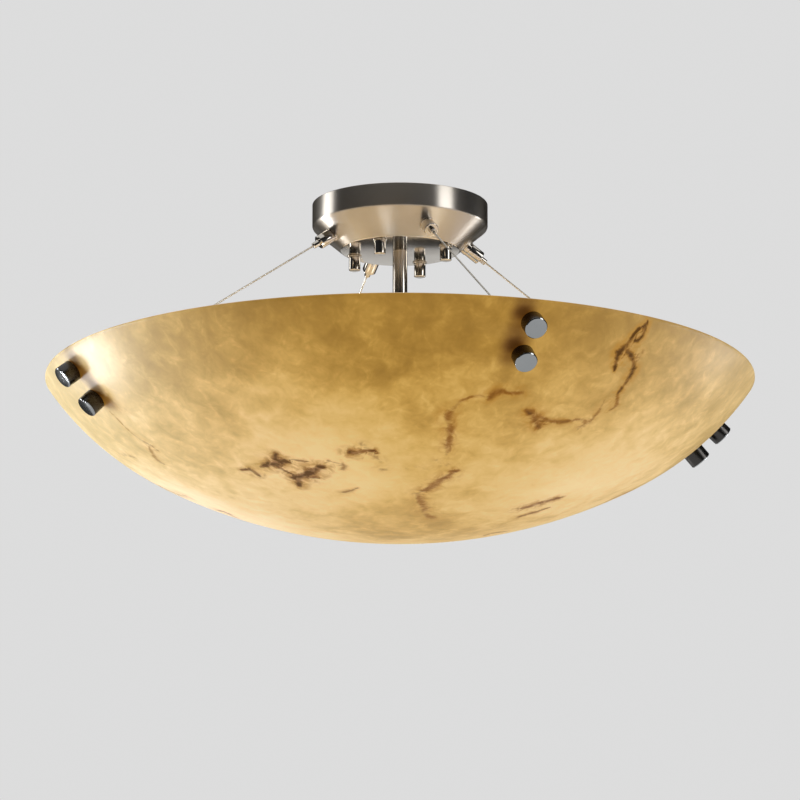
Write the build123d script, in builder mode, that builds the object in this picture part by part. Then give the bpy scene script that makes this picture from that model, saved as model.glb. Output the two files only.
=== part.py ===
from build123d import *
import os
from math import asin, atan2, cos, degrees, hypot, radians, sin, sqrt, tan

# A semi flush ceiling light. A stone-look bowl hangs on four steel cables from a spun canopy, and a stem
# carries a four-lamp cluster into the bowl. Millimetres, +Z up, origin on the ceiling plane at the
# canopy's centre. Cables, grippers and finials lie on the X and Y axes, lamps and canopy nuts between them.

# ---- Where the repeated pieces stand, as angles about +Z from +X ----
sides = {"front": -90, "right": 0, "back": 90, "left": 180}
lamps = {"front_right": -45, "back_right": 45, "back_left": 135, "front_left": 225}
stud_count = 4
stud_start_angle = 45

# ---- Clearances ----
thread_gap = 0.05       # radial, between a drawn thread and its nut
hole_gap = 0.25         # radial, between a screw and a plain hole
seat_gap = 0.05         # between two faces that bear on each other
wall_hole_gap = 0.5     # radial, between a screw and its hole in the bowl
cable_gap = 0.3         # radial, between a cable and a bore it passes
plunger_gap = 0.1       # radial, between a gripper's plunger and its body
lead_gap = 0.6          # between a lead and the nipple's bore
base_gap = 0.35         # radial, between a lamp's screw base and its socket's shell
neck_gap = 0.1          # radial, between a lamp's glass and its screw base
end_gap = 1.0           # between a screw's or lead's end and the bottom of its hole
past_face = 1.0         # how far a cut runs past the face that it opens

# ---- Canopy and ceiling plate ----
canopy_radius = 76.0
canopy_band = 20.0
canopy_cone_drop = 21.0
canopy_cone_width = 25.0
canopy_wall = 1.5
canopy_band_fillet = 2.5
canopy_base_fillet = 1.6
canopy_base_radius = canopy_radius - canopy_cone_width
canopy_depth = canopy_band + canopy_cone_drop

plate_thickness = 2.5
plate_edge = 6.5        # outside the studs and the slots
plate_wire_hole_radius = 13.0
box_screw_pitch = 88.9
box_slot_length = 14.0
box_slot_width = 4.8
ground_screw_radius = 2.0
ground_screw_head_radius = 4.5
ground_screw_head_height = 2.6
ground_screw_distance = 30.0

stud_radius = 2.0
stud_inset = 8.0        # from the edge of the canopy's base
stud_circle_radius = canopy_base_radius - stud_inset
stud_end_gap = 0.5
stud_nut_flats = 7.0
stud_nut_height = 3.0
nut_washer_radius = 6.2
nut_washer_thickness = 1.0
cap_nut_radius = 5.0
cap_nut_length = 12.0
cap_nut_bore_depth = 8.5
cap_nut_chamfer = 0.8

# ---- Stem ----
stem_radius = 6.35
stem_length = 131.0
nipple_radius = 5.0
nipple_bore_radius = 4.0
nipple_rise = 14.0
nipple_in_cap = 4.0
wire_window_radius = 2.0
lock_nut_flats = 17.0
lock_nut_height = 5.0
stem_washer_radius = 12.0
stem_washer_thickness = 1.5

# ---- Bowl ----
bowl_radius = 307.0     # to the rim's sharp corner; rounding it leaves 305
bowl_depth = 135.0
bowl_wall = 6.0
bowl_side_radius = 250.0
bowl_rim_angle = 56.0   # of the wall's outward normal from straight down, at the rim
bowl_rim_fillet = 2.2
rim_drop = 155.0        # from the ceiling to the rim

# ---- Finials and the straps inside the wall ----
finial_radius = 9.5
finial_length = 12.7
finial_chamfer = 0.7
finial_bore_depth = 9.0
finial_upper_arc = 21.0     # along the wall from the rim
finial_lower_arc = 51.5
gasket_inset = 1.5          # of the gasket's edge under the finial's
gasket_thickness = 0.8
screw_radius = 2.0
screw_head_radius = 4.0
screw_head_height = 2.6
screw_head_edge = 0.8
screw_head_shoulder = 1.2
strap_width = 18.0
strap_thickness = 3.0
strap_overhang = 12.0       # past each screw
pad_thickness = 0.8
boss_height = 9.0           # above the pad, along the cable
boss_wall = 1.95
boss_sink = 3.0             # from the wall's inner face back to the boss's end
stop_wall = 1.5
stop_length = 6.0
stop_shoulder = 2.4         # solid end of the boss that the stop pulls against
stop_cover = 0.5            # of the stop past the cable's end

# ---- Cables and their grippers ----
cable_radius = 0.8
cable_tail = 16.0           # past the cone, into the canopy
gripper_seat_share = 0.56   # down the cone, where the cable's line crosses it
gripper_body_radius = 6.0
gripper_body_length = 15.5  # past the cone
gripper_shank_wall = 0.9
gripper_shank_length = 11.0 # into the canopy
gripper_cavity_radius = 3.1
gripper_end_wall = 1.5
gripper_chamfer = 0.6
plunger_radius = 2.6
plunger_reach = 6.2         # out of the gripper body
plunger_cage_length = 3.0
cage_taper = 1.0            # of the body's bore, past the plunger's cage
cage_edge_ahead = 0.2       # the cage's sloping edge, past its length
cage_edge_back = 0.3        # and short of it
spring_wire = 0.6
wedge_radius = 6.4
wedge_thin_side = 0.6
gripper_nut_flats = 12.0
gripper_nut_height = 3.5

# ---- Lamp cluster ----
hub_sides = 8
hub_turn = 180 / hub_sides
hub_apothem = 30.0
hub_height = 36.0
hub_wall = 2.0
hub_cover_thickness = 3.0
hub_cover_lip = 3.0
hub_cap_radius = 9.0
hub_cap_height = 9.0
lamp_axis_drop = 17.0       # from the hub's top to the lamps' axes
hollow_screw_head_flats = 15.0
hollow_screw_head_height = 3.0
hollow_screw_bore_radius = 3.5
socket_seat = 2.0
socket_washer_inset = 2.0
socket_wall = 3.8
socket_mouth_lip = 1.0
socket_back_wall = 12.0
socket_back_fillet = 4.0
shell_wall = 0.5
shell_past_base = 1.0
contact_room = 3.6          # behind the lamp's button
contact_width = 6.0
contact_thickness = 0.8
contact_foot = 5.0          # from the lamp's axis to the strip's free ends
contact_fold = 9.0          # from the lamp's axis to the fold

# ---- Lamps, screw base of 26 mm ----
base_radius = 13.1
base_wall = 0.8
base_length = 24.0
thread_pitch = 3.63
thread_depth = 0.45
thread_turns = 4
thread_start = 3.5
base_rim_length = 1.0
insulator_length = 3.0
insulator_tip_radius = 6.0
button_radius = 4.5
button_length = 1.4
glass_neck_length = 6.0
glass_neck_sunk = 8.0
glass_flare_radius = 40.0
glass_ball_radius = 30.0
glass_wall = 1.0

# ---- Wiring ----
lead_radius = 1.2
lead_bend = 7.0
lead_height = 9.0           # of the bent-over leads above the nipple's top
lead_foot = 6.0             # of the leads' lower ends below the lamps' axes
connector_start = 24.0
connector_length = 18.0
connector_mouth_radius = 5.0
connector_tip_radius = 3.4
connector_bore_depth = 8.0
connector_tip_edge = 1.0
connector_tip_length = 1.5
connector_angles = (150, 180, 210)
lead_angles = (60, 180, 300)


# ---- Sizes that follow what they fit ----
plate_radius = max(stud_circle_radius, (box_screw_pitch + box_slot_length) / 2) + plate_edge
gasket_radius = finial_radius - gasket_inset
cable_bore_radius = cable_radius + cable_gap
stop_radius = cable_radius + stop_wall
boss_radius = stop_radius + hole_gap + boss_wall
gripper_seat_radius = canopy_radius - gripper_seat_share * canopy_cone_width
gripper_shank_radius = gripper_cavity_radius + gripper_shank_wall
plunger_cage_radius = gripper_cavity_radius - plunger_gap
shell_radius = base_radius + base_gap + shell_wall
socket_cavity_radius = shell_radius + hole_gap
socket_radius = socket_cavity_radius + socket_wall
glass_neck_radius = base_radius - base_wall - neck_gap
lead_spread = nipple_bore_radius - lead_radius - lead_gap

# ---- Worked-out places ----
rim_z = -rim_drop
canopy_floor_z = -canopy_depth + canopy_wall
hub_top_z = -canopy_depth - stem_length
hub_bottom_z = hub_top_z - hub_height
lamp_z = hub_top_z - lamp_axis_drop
nipple_top_z = -canopy_depth + nipple_rise
nipple_low_z = hub_bottom_z - hub_cover_thickness - nipple_in_cap

# The bowl's outer outline is a side arc tangent to a flatter crown arc, whose radius follows.
rim_angle = radians(bowl_rim_angle)
side_centre_x = bowl_radius - bowl_side_radius * sin(rim_angle)
side_centre_z = rim_z + bowl_side_radius * cos(rim_angle)
side_rise = side_centre_z - rim_z + bowl_depth
crown_radius = (side_centre_x**2 + side_rise**2 - bowl_side_radius**2) / (2 * (side_rise - bowl_side_radius))
crown_angle = asin(side_centre_x / (crown_radius - bowl_side_radius))
bowl_bottom_z = rim_z - bowl_depth
crown_centre_z = bowl_bottom_z + crown_radius


def around(radius, height, angle):
    """The point at that radius and height, at an angle about +Z."""
    return Vector(radius * cos(radians(angle)), radius * sin(radians(angle)), height)


def turning_plane(radius, height, out, up, angle):
    """A plane whose local X is a piece's own axis, in the upright plane at that angle."""
    return Plane(
        origin=around(radius, height, angle),
        x_dir=around(out, up, angle),
        z_dir=around(1, 0, angle + 90),
    )


def turn(plane, points, mode=Mode.ADD):
    """Turns a closed outline of (along, out) points about the plane's own X axis."""
    with BuildSketch(plane) as outline:
        with BuildLine():
            Polyline(*points, close=True)
        make_face()
    revolve(outline.sketch, axis=Axis(plane.origin, plane.x_dir), mode=mode)


def turn_tube(plane, start, end, outer, inner=0.0, mode=Mode.ADD):
    """A round bar, or a tube where inner isn't 0, along the plane's own X axis."""
    turn(plane, [(start, inner), (end, inner), (end, outer), (start, outer)], mode)


def save(name, part):
    """Labels a finished piece and writes its file."""
    part.label = name
    export_step(part, f"parts/{name}.step")


def wall_point(arc, inward=0.0):
    """Radius, height and normal angle on the bowl's side, an arc's length below the rim."""
    angle = rim_angle - arc / bowl_side_radius
    reach = bowl_side_radius - inward
    return side_centre_x + reach * sin(angle), side_centre_z - reach * cos(angle), angle


def wall_plane(arc, angle):
    """A turning plane square to the bowl's wall, 0 at the outside of the wall and growing outwards."""
    radius, height, normal = wall_point(arc)
    return turning_plane(radius, height, sin(normal), -cos(normal), angle)


def hex_nut(planes, flats, height, bore):
    """A hexagon nut on each plane, standing on the plane's face."""
    with BuildPart() as nuts:
        with BuildSketch(*planes):
            RegularPolygon(flats / 2, 6, major_radius=False)
            Circle(bore, mode=Mode.SUBTRACT)
        extrude(amount=height)
    return nuts.part


# The cable runs straight from the cone to the middle of the strap.
gripper_seat_z = -canopy_band - canopy_cone_drop * gripper_seat_share
anchor_arc = (finial_upper_arc + finial_lower_arc) / 2
anchor_radius, anchor_z, anchor_normal = wall_point(anchor_arc, bowl_wall)
cable_run = anchor_radius - gripper_seat_radius
cable_fall = anchor_z - gripper_seat_z
cable_length = hypot(cable_run, cable_fall)
cone_slope = atan2(canopy_cone_drop, canopy_cone_width)
cable_slope = atan2(-cable_fall, cable_run)
cable_tilt = abs(radians(90) - cone_slope - cable_slope)
print("cable slope", round(degrees(cable_slope), 2), "length to the wall", round(cable_length, 2))
print("crown radius", round(crown_radius, 1), "crown angle", round(degrees(crown_angle), 1))


def cable_plane(angle, along=0.0):
    """A turning plane on a cable's line: 0 on the cone, growing towards the bowl."""
    plane = turning_plane(gripper_seat_radius, gripper_seat_z, cable_run, cable_fall, angle)
    plane.origin += plane.x_dir * along
    return plane


def across_cable(angle, along=0.0):
    """The plane square to a cable, at a distance along it."""
    plane = cable_plane(angle, along)
    return Plane(origin=plane.origin, x_dir=plane.z_dir, z_dir=plane.x_dir)


os.makedirs("parts", exist_ok=True)
side_angles = list(sides.values())
lamp_angles = list(lamps.values())
finial_planes = [wall_plane(arc, a) for a in side_angles for arc in (finial_upper_arc, finial_lower_arc)]

# ---- Ceiling plate, with the slots for the outlet box's screws ----
with BuildPart() as mounting_plate:
    with BuildSketch(Plane.XY.offset(-plate_thickness)):
        Circle(plate_radius)
        Circle(plate_wire_hole_radius, mode=Mode.SUBTRACT)
        with GridLocations(box_screw_pitch, 0, 2, 1):
            SlotOverall(box_slot_length, box_slot_width, mode=Mode.SUBTRACT)
        with PolarLocations(stud_circle_radius, stud_count, stud_start_angle):
            Circle(stud_radius + thread_gap, mode=Mode.SUBTRACT)
        with Locations((0, -ground_screw_distance)):
            Circle(ground_screw_radius + thread_gap, mode=Mode.SUBTRACT)
    extrude(amount=plate_thickness)
save("mounting_plate", mounting_plate.part)

with BuildPart() as ground_screw:
    with BuildSketch(Plane.XY.offset(-plate_thickness)):
        with Locations((0, -ground_screw_distance)):
            Circle(ground_screw_radius)
    extrude(amount=plate_thickness - seat_gap)
    with BuildSketch(Plane.XY.offset(-plate_thickness - ground_screw_head_height)):
        with Locations((0, -ground_screw_distance)):
            RegularPolygon(ground_screw_head_radius, 6)
    extrude(amount=ground_screw_head_height - seat_gap)
    with BuildSketch(Plane.XY.offset(-plate_thickness - seat_gap)):
        with Locations((0, -ground_screw_distance)):
            Circle(ground_screw_radius)
    extrude(amount=seat_gap)
save("ground_screw", ground_screw.part)

# ---- Canopy: a spun pan with a band, a cone and a flat base ----
with BuildPart() as canopy_outside:
    with BuildSketch(Plane.XZ):
        with BuildLine():
            Polyline(
                (0, 0),
                (canopy_radius, 0),
                (canopy_radius, -canopy_band),
                (canopy_base_radius, -canopy_depth),
                (0, -canopy_depth),
                close=True,
            )
        make_face()
    revolve(axis=Axis.Z)
    rings = canopy_outside.edges().filter_by(GeomType.CIRCLE).sort_by(Axis.Z)
    fillet(rings[0], canopy_base_fillet)
    rings = canopy_outside.edges().filter_by(GeomType.CIRCLE).sort_by(Axis.Z)
    fillet(rings.filter_by(lambda e: abs(e.center().Z + canopy_band) < seat_gap), canopy_band_fillet)

with BuildPart() as canopy:
    add(canopy_outside.part)
    offset(amount=-canopy_wall, openings=canopy.faces().sort_by(Axis.Z)[-1])
    with BuildSketch(Plane.XY.offset(-canopy_depth)):
        Circle(nipple_radius + hole_gap)
        with PolarLocations(stud_circle_radius, stud_count, stud_start_angle):
            Circle(stud_radius + hole_gap)
    extrude(amount=canopy_wall, mode=Mode.SUBTRACT)
    for angle in side_angles:
        turn_tube(
            cable_plane(angle),
            -gripper_shank_length,
            gripper_body_length,
            gripper_shank_radius + hole_gap,
            mode=Mode.SUBTRACT,
        )
save("canopy", canopy.part)

# ---- Canopy studs, with jam nuts under the plate, and washers and cap nuts below the canopy ----
cap_nut_top_z = -canopy_depth - nut_washer_thickness - seat_gap
stud_end_z = cap_nut_top_z - cap_nut_bore_depth + stud_end_gap
with BuildPart() as canopy_studs:
    with BuildSketch(Plane.XY.offset(stud_end_z)):
        with PolarLocations(stud_circle_radius, stud_count, stud_start_angle):
            Circle(stud_radius)
    extrude(amount=-stud_end_z)
save("canopy_studs", canopy_studs.part)

stud_nut_z = -plate_thickness - seat_gap - stud_nut_height
stud_nut_planes = [Plane(around(stud_circle_radius, stud_nut_z, a)) for a in lamp_angles]
save("canopy_stud_nuts", hex_nut(stud_nut_planes, stud_nut_flats, stud_nut_height, stud_radius + thread_gap))

with BuildPart() as canopy_nut_washers:
    with BuildSketch(Plane.XY.offset(-canopy_depth - nut_washer_thickness)):
        with PolarLocations(stud_circle_radius, stud_count, stud_start_angle):
            Circle(nut_washer_radius)
            Circle(stud_radius + hole_gap, mode=Mode.SUBTRACT)
    extrude(amount=nut_washer_thickness)
save("canopy_nut_washers", canopy_nut_washers.part)

with BuildPart() as canopy_cap_nuts:
    with BuildSketch(Plane.XY.offset(cap_nut_top_z)):
        with PolarLocations(stud_circle_radius, stud_count, stud_start_angle):
            Circle(cap_nut_radius)
    extrude(amount=-cap_nut_length)
    chamfer(canopy_cap_nuts.faces().group_by(Axis.Z)[0].edges(), cap_nut_chamfer)
    with BuildSketch(Plane.XY.offset(cap_nut_top_z)):
        with PolarLocations(stud_circle_radius, stud_count, stud_start_angle):
            Circle(stud_radius + thread_gap)
    extrude(amount=-cap_nut_bore_depth, mode=Mode.SUBTRACT)
save("canopy_cap_nuts", canopy_cap_nuts.part)

# ---- Stem: a tube with a hollow threaded nipple at each end ----
with BuildPart() as stem:
    with BuildSketch(Plane.XZ):
        with BuildLine():
            Polyline(
                (nipple_bore_radius, nipple_top_z),
                (nipple_radius, nipple_top_z),
                (nipple_radius, -canopy_depth - seat_gap),
                (stem_radius, -canopy_depth - seat_gap),
                (stem_radius, hub_top_z + seat_gap),
                (nipple_radius, hub_top_z + seat_gap),
                (nipple_radius, nipple_low_z),
                (nipple_bore_radius, nipple_low_z),
                close=True,
            )
        make_face()
    revolve(axis=Axis.Z)
    for angle in lamp_angles:
        window = turning_plane(0, lamp_z, 1, 0, angle)
        turn_tube(window, lead_spread, stem_radius, wire_window_radius, mode=Mode.SUBTRACT)
save("stem", stem.part)

with BuildPart() as stem_washer:
    with BuildSketch(Plane.XY.offset(canopy_floor_z + seat_gap)):
        Circle(stem_washer_radius)
        Circle(nipple_radius + hole_gap, mode=Mode.SUBTRACT)
    extrude(amount=stem_washer_thickness)
save("stem_washer", stem_washer.part)

stem_nut_z = canopy_floor_z + stem_washer_thickness + 2 * seat_gap
nipple_bore = nipple_radius + thread_gap
hub_nut_z = hub_top_z - hub_wall - seat_gap - lock_nut_height
stem_nut_planes = [Plane.XY.offset(z) for z in (stem_nut_z, hub_nut_z)]
save("stem_lock_nuts", hex_nut(stem_nut_planes, lock_nut_flats, lock_nut_height, nipple_bore))

# ---- Cable grippers: body, sprung plunger, wedge washers and lock nut ----
cavity_start = -gripper_shank_length + gripper_end_wall
cage_start = 0.0
mouth_radius = plunger_radius + plunger_gap
spring_outer = gripper_cavity_radius - plunger_gap
plunger_end = gripper_body_length + plunger_reach
wedge_lift = wedge_radius * tan(cable_tilt)
wall_along_cable = canopy_wall / cos(cable_tilt)
outer_wedge_end = wedge_lift + wedge_thin_side
inner_wedge_end = -wall_along_cable - wedge_lift - wedge_thin_side

for side, angle in sides.items():
    line = cable_plane(angle)
    with BuildPart() as gripper_body:
        turn(
            line,
            [
                (-gripper_shank_length, cable_bore_radius),
                (cavity_start, cable_bore_radius),
                (cavity_start, gripper_cavity_radius),
                (cage_start + plunger_cage_length, gripper_cavity_radius),
                (cage_start + plunger_cage_length + cage_taper, mouth_radius),
                (gripper_body_length, mouth_radius),
                (gripper_body_length, gripper_body_radius - gripper_chamfer),
                (gripper_body_length - gripper_chamfer, gripper_body_radius),
                (outer_wedge_end + seat_gap, gripper_body_radius),
                (outer_wedge_end + seat_gap, gripper_shank_radius),
                (-gripper_shank_length, gripper_shank_radius),
            ],
        )
    save(f"gripper_body_{side}", gripper_body.part)

    with BuildPart() as gripper_plunger:
        turn(
            line,
            [
                (cage_start, cable_bore_radius),
                (plunger_end, cable_bore_radius),
                (plunger_end, plunger_radius - gripper_chamfer / 2),
                (plunger_end - gripper_chamfer / 2, plunger_radius),
                (cage_start + plunger_cage_length + cage_edge_ahead, plunger_radius),
                (cage_start + plunger_cage_length - cage_edge_back, plunger_cage_radius),
                (cage_start, plunger_cage_radius),
            ],
        )
    save(f"gripper_plunger_{side}", gripper_plunger.part)

    with BuildPart() as gripper_spring:
        turn_tube(
            line, cavity_start + seat_gap, cage_start - seat_gap, spring_outer, spring_outer - spring_wire
        )
    save(f"gripper_spring_{side}", gripper_spring.part)

with BuildPart() as canopy_inside:
    add(canopy_outside.part)
    offset(amount=-canopy_wall - seat_gap)

with BuildPart() as canopy_skin:
    add(canopy_outside.part)
    offset(amount=seat_gap)
    add(canopy_inside.part, mode=Mode.SUBTRACT)

shank_hole = gripper_shank_radius + hole_gap
with BuildPart() as gripper_wedges:
    for angle in side_angles:
        turn_tube(cable_plane(angle), inner_wedge_end, outer_wedge_end, wedge_radius, shank_hole)
    add(canopy_skin.part, mode=Mode.SUBTRACT)
save("gripper_wedges", gripper_wedges.part)

gripper_nut_planes = [across_cable(a, inner_wedge_end - seat_gap - gripper_nut_height) for a in side_angles]
gripper_nut_bore = gripper_shank_radius + thread_gap
gripper_nuts = hex_nut(gripper_nut_planes, gripper_nut_flats, gripper_nut_height, gripper_nut_bore)
save("gripper_lock_nuts", gripper_nuts)

# ---- Cables, from the canopy to the swaged stops in the straps ----
pad_inward = bowl_wall + seat_gap
strap_inward = pad_inward + pad_thickness + seat_gap
boss_end = cable_length - pad_thickness - boss_height
stop_end = boss_end + stop_shoulder
cable_end = stop_end + stop_length - stop_cover

for side, angle in sides.items():
    with BuildPart() as cable:
        turn_tube(cable_plane(angle), -cable_tail, cable_end, cable_radius)
    save(f"cable_{side}", cable.part)

with BuildPart() as cable_stops:
    for angle in side_angles:
        stop_line = cable_plane(angle)
        turn_tube(
            stop_line, stop_end + seat_gap, stop_end + stop_length, stop_radius, cable_radius + thread_gap
        )
save("cable_stops", cable_stops.part)


def wall_strip(angle, inward, thickness, width, first_arc, last_arc):
    """A strip that follows the inside of the bowl's wall, between two arc lengths below the rim."""
    centre = (side_centre_x, -side_centre_z)
    outer = bowl_side_radius - inward
    start = 90 - bowl_rim_angle + degrees(first_arc / bowl_side_radius)
    span = degrees((last_arc - first_arc) / bowl_side_radius)
    half_width = degrees(width / 2 / anchor_radius)
    with BuildSketch(turning_plane(0, 0, 1, 0, angle + half_width)) as outline:
        with BuildLine():
            far = CenterArc(centre, outer, start, span)
            near = CenterArc(centre, outer - thickness, start, span)
            Line(far @ 0, near @ 0)
            Line(far @ 1, near @ 1)
        make_face()
    revolve(outline.sketch, axis=Axis.Z, revolution_arc=-2 * half_width)


strap_first = finial_upper_arc - strap_overhang
strap_last = finial_lower_arc + strap_overhang
with BuildPart() as strap_pads:
    for angle in side_angles:
        wall_strip(angle, pad_inward, pad_thickness, strap_width, strap_first, strap_last)
    for plane in finial_planes:
        turn_tube(plane, -strap_inward, 0, screw_radius + hole_gap, mode=Mode.SUBTRACT)
    for angle in side_angles:
        turn_tube(cable_plane(angle), boss_end, cable_length, stop_radius + hole_gap, mode=Mode.SUBTRACT)
save("strap_pads", strap_pads.part)

with BuildPart() as wall_straps:
    for angle in side_angles:
        wall_strip(angle, strap_inward, strap_thickness, strap_width, strap_first, strap_last)
        turn_tube(cable_plane(angle), boss_end, cable_length - boss_sink, boss_radius)
    for plane in finial_planes:
        turn_tube(
            plane, -strap_inward - strap_thickness - past_face, 0, screw_radius + hole_gap, mode=Mode.SUBTRACT
        )
    for angle in side_angles:
        turn_tube(cable_plane(angle), boss_end, cable_length, cable_bore_radius, mode=Mode.SUBTRACT)
        turn_tube(cable_plane(angle), stop_end, cable_length, stop_radius + hole_gap, mode=Mode.SUBTRACT)
save("wall_straps", wall_straps.part)

# ---- Bowl ----
inner_rim_angle = radians(90) - asin((side_centre_z - rim_z) / (bowl_side_radius - bowl_wall))
crown_degrees = degrees(crown_angle)
with BuildPart() as bowl:
    with BuildSketch(Plane.XZ):
        with BuildLine():
            outer_crown = CenterArc((0, crown_centre_z), crown_radius, -90, crown_degrees)
            outer_side = CenterArc(
                (side_centre_x, side_centre_z),
                bowl_side_radius,
                crown_degrees - 90,
                bowl_rim_angle - crown_degrees,
            )
            inner_crown = CenterArc((0, crown_centre_z), crown_radius - bowl_wall, -90, crown_degrees)
            inner_side = CenterArc(
                (side_centre_x, side_centre_z),
                bowl_side_radius - bowl_wall,
                crown_degrees - 90,
                degrees(inner_rim_angle) - crown_degrees,
            )
            Line(outer_side @ 1, inner_side @ 1)
            Line(outer_crown @ 0, inner_crown @ 0)
        make_face()
    revolve(axis=Axis.Z)
    rim_edges = bowl.edges().filter_by(GeomType.CIRCLE).group_by(Axis.Z)[-1]
    fillet(rim_edges, bowl_rim_fillet)
    for plane in finial_planes:
        turn_tube(plane, -2 * bowl_wall, bowl_wall, screw_radius + wall_hole_gap, mode=Mode.SUBTRACT)
save("bowl", bowl.part)

# ---- Finials outside the wall, with their gaskets and screws ----
gasket_start = seat_gap
finial_start = gasket_start + gasket_thickness + seat_gap
for side, angle in sides.items():
    with BuildPart() as finials:
        for arc in (finial_upper_arc, finial_lower_arc):
            turn(
                wall_plane(arc, angle),
                [
                    (finial_start, screw_radius + thread_gap),
                    (finial_start + finial_bore_depth, screw_radius + thread_gap),
                    (finial_start + finial_bore_depth, 0),
                    (finial_start + finial_length, 0),
                    (finial_start + finial_length, finial_radius - finial_chamfer),
                    (finial_start + finial_length - finial_chamfer, finial_radius),
                    (finial_start, finial_radius),
                ],
            )
    save(f"finials_{side}", finials.part)

with BuildPart() as finial_gaskets:
    for plane in finial_planes:
        turn_tube(
            plane, gasket_start, gasket_start + gasket_thickness, gasket_radius, screw_radius + hole_gap
        )
save("finial_gaskets", finial_gaskets.part)

screw_seat = -strap_inward - strap_thickness - seat_gap * 2
with BuildPart() as finial_screws:
    for plane in finial_planes:
        turn(
            plane,
            [
                (screw_seat - screw_head_height, 0),
                (finial_start + finial_bore_depth - end_gap, 0),
                (finial_start + finial_bore_depth - end_gap, screw_radius),
                (screw_seat, screw_radius),
                (screw_seat, screw_head_radius),
                (screw_seat - screw_head_height + screw_head_edge, screw_head_radius),
                (screw_seat - screw_head_height, screw_head_radius - screw_head_shoulder),
            ],
        )
save("finial_screws", finial_screws.part)

# ---- Hub: an eight-sided box that the four sockets screw into, with its cover and cap ----
with BuildPart() as hub_body:
    with BuildSketch(Plane.XY.offset(hub_bottom_z)):
        RegularPolygon(hub_apothem, hub_sides, major_radius=False, rotation=hub_turn)
    extrude(amount=hub_height)
    fillet(hub_body.faces().sort_by(Axis.Z)[-1].edges(), hub_wall)
    with BuildSketch(Plane.XY.offset(hub_bottom_z)):
        RegularPolygon(hub_apothem - hub_wall, hub_sides, major_radius=False, rotation=hub_turn)
    extrude(amount=hub_height - hub_wall, mode=Mode.SUBTRACT)
    with BuildSketch(Plane.XY.offset(hub_top_z)):
        Circle(nipple_radius + hole_gap)
    extrude(amount=-hub_wall, mode=Mode.SUBTRACT)
    for angle in lamp_angles:
        turn_tube(
            turning_plane(0, lamp_z, 1, 0, angle),
            hub_apothem - hub_wall - past_face,
            hub_apothem + past_face,
            nipple_radius + hole_gap,
            mode=Mode.SUBTRACT,
        )
save("hub_body", hub_body.part)

with BuildPart() as hub_cover:
    with BuildSketch(Plane.XY.offset(hub_bottom_z - seat_gap)):
        RegularPolygon(hub_apothem, hub_sides, major_radius=False, rotation=hub_turn)
    extrude(amount=-hub_cover_thickness)
    fillet(hub_cover.faces().sort_by(Axis.Z)[0].edges(), hub_cover_thickness / 3)
    with BuildSketch(Plane.XY.offset(hub_bottom_z - seat_gap)):
        RegularPolygon(hub_apothem - hub_wall - hole_gap, hub_sides, major_radius=False, rotation=hub_turn)
        RegularPolygon(
            hub_apothem - 2 * hub_wall, hub_sides, major_radius=False, rotation=hub_turn, mode=Mode.SUBTRACT
        )
    extrude(amount=hub_cover_lip)
    with BuildSketch(Plane.XY.offset(hub_bottom_z)):
        Circle(nipple_radius + hole_gap)
    extrude(amount=-hub_cover_thickness - past_face, mode=Mode.SUBTRACT)
save("hub_cover", hub_cover.part)

cap_top_z = hub_bottom_z - hub_cover_thickness - 2 * seat_gap
with BuildPart() as hub_cap:
    with BuildSketch(Plane.XY.offset(cap_top_z)):
        Circle(hub_cap_radius)
    extrude(amount=-hub_cap_height)
    fillet(hub_cap.faces().sort_by(Axis.Z)[0].edges(), hub_cap_height / 3)
    with BuildSketch(Plane.XY.offset(cap_top_z)):
        Circle(nipple_bore)
    extrude(amount=nipple_low_z - cap_top_z - hole_gap, mode=Mode.SUBTRACT)
save("hub_cap", hub_cap.part)

# ---- Sockets. Along a lamp's axis, 0 is where the glass leaves the screw base ----
button_end = -base_length - insulator_length - button_length
cavity_back = button_end - contact_room
socket_back = cavity_back - socket_back_wall
mouth_reach = hub_apothem + socket_seat - socket_back


def lamp_plane(angle):
    """The turning plane on a lamp's axis, 0 at the end of its screw base."""
    return turning_plane(mouth_reach, lamp_z, 1, 0, angle)


for name, angle in lamps.items():
    with BuildPart() as socket:
        turn_tube(lamp_plane(angle), socket_back, socket_mouth_lip, socket_radius, nipple_bore)
        across = Plane(origin=lamp_plane(angle).origin, x_dir=(0, 0, 1), z_dir=lamp_plane(angle).x_dir)
        rims = socket.edges().filter_by(GeomType.CIRCLE)
        back = rims.filter_by(lambda e: abs(across.to_local_coords(e.center()).Z - socket_back) < seat_gap)
        fillet(back.filter_by(lambda e: e.radius > nipple_radius * 2), socket_back_fillet)
        mouth = rims.filter_by(
            lambda e: abs(across.to_local_coords(e.center()).Z - socket_mouth_lip) < seat_gap
        )
        fillet(mouth.filter_by(lambda e: e.radius > nipple_radius * 2), socket_mouth_lip)
        turn_tube(lamp_plane(angle), cavity_back, socket_mouth_lip, socket_cavity_radius, mode=Mode.SUBTRACT)
    save(f"socket_{name}", socket.part)

with BuildPart() as socket_washers:
    for angle in lamp_angles:
        turn_tube(
            lamp_plane(angle),
            socket_back - socket_seat + seat_gap,
            socket_back - seat_gap,
            socket_radius - socket_back_fillet - socket_washer_inset,
            nipple_radius + hole_gap,
        )
save("socket_washers", socket_washers.part)

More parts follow.
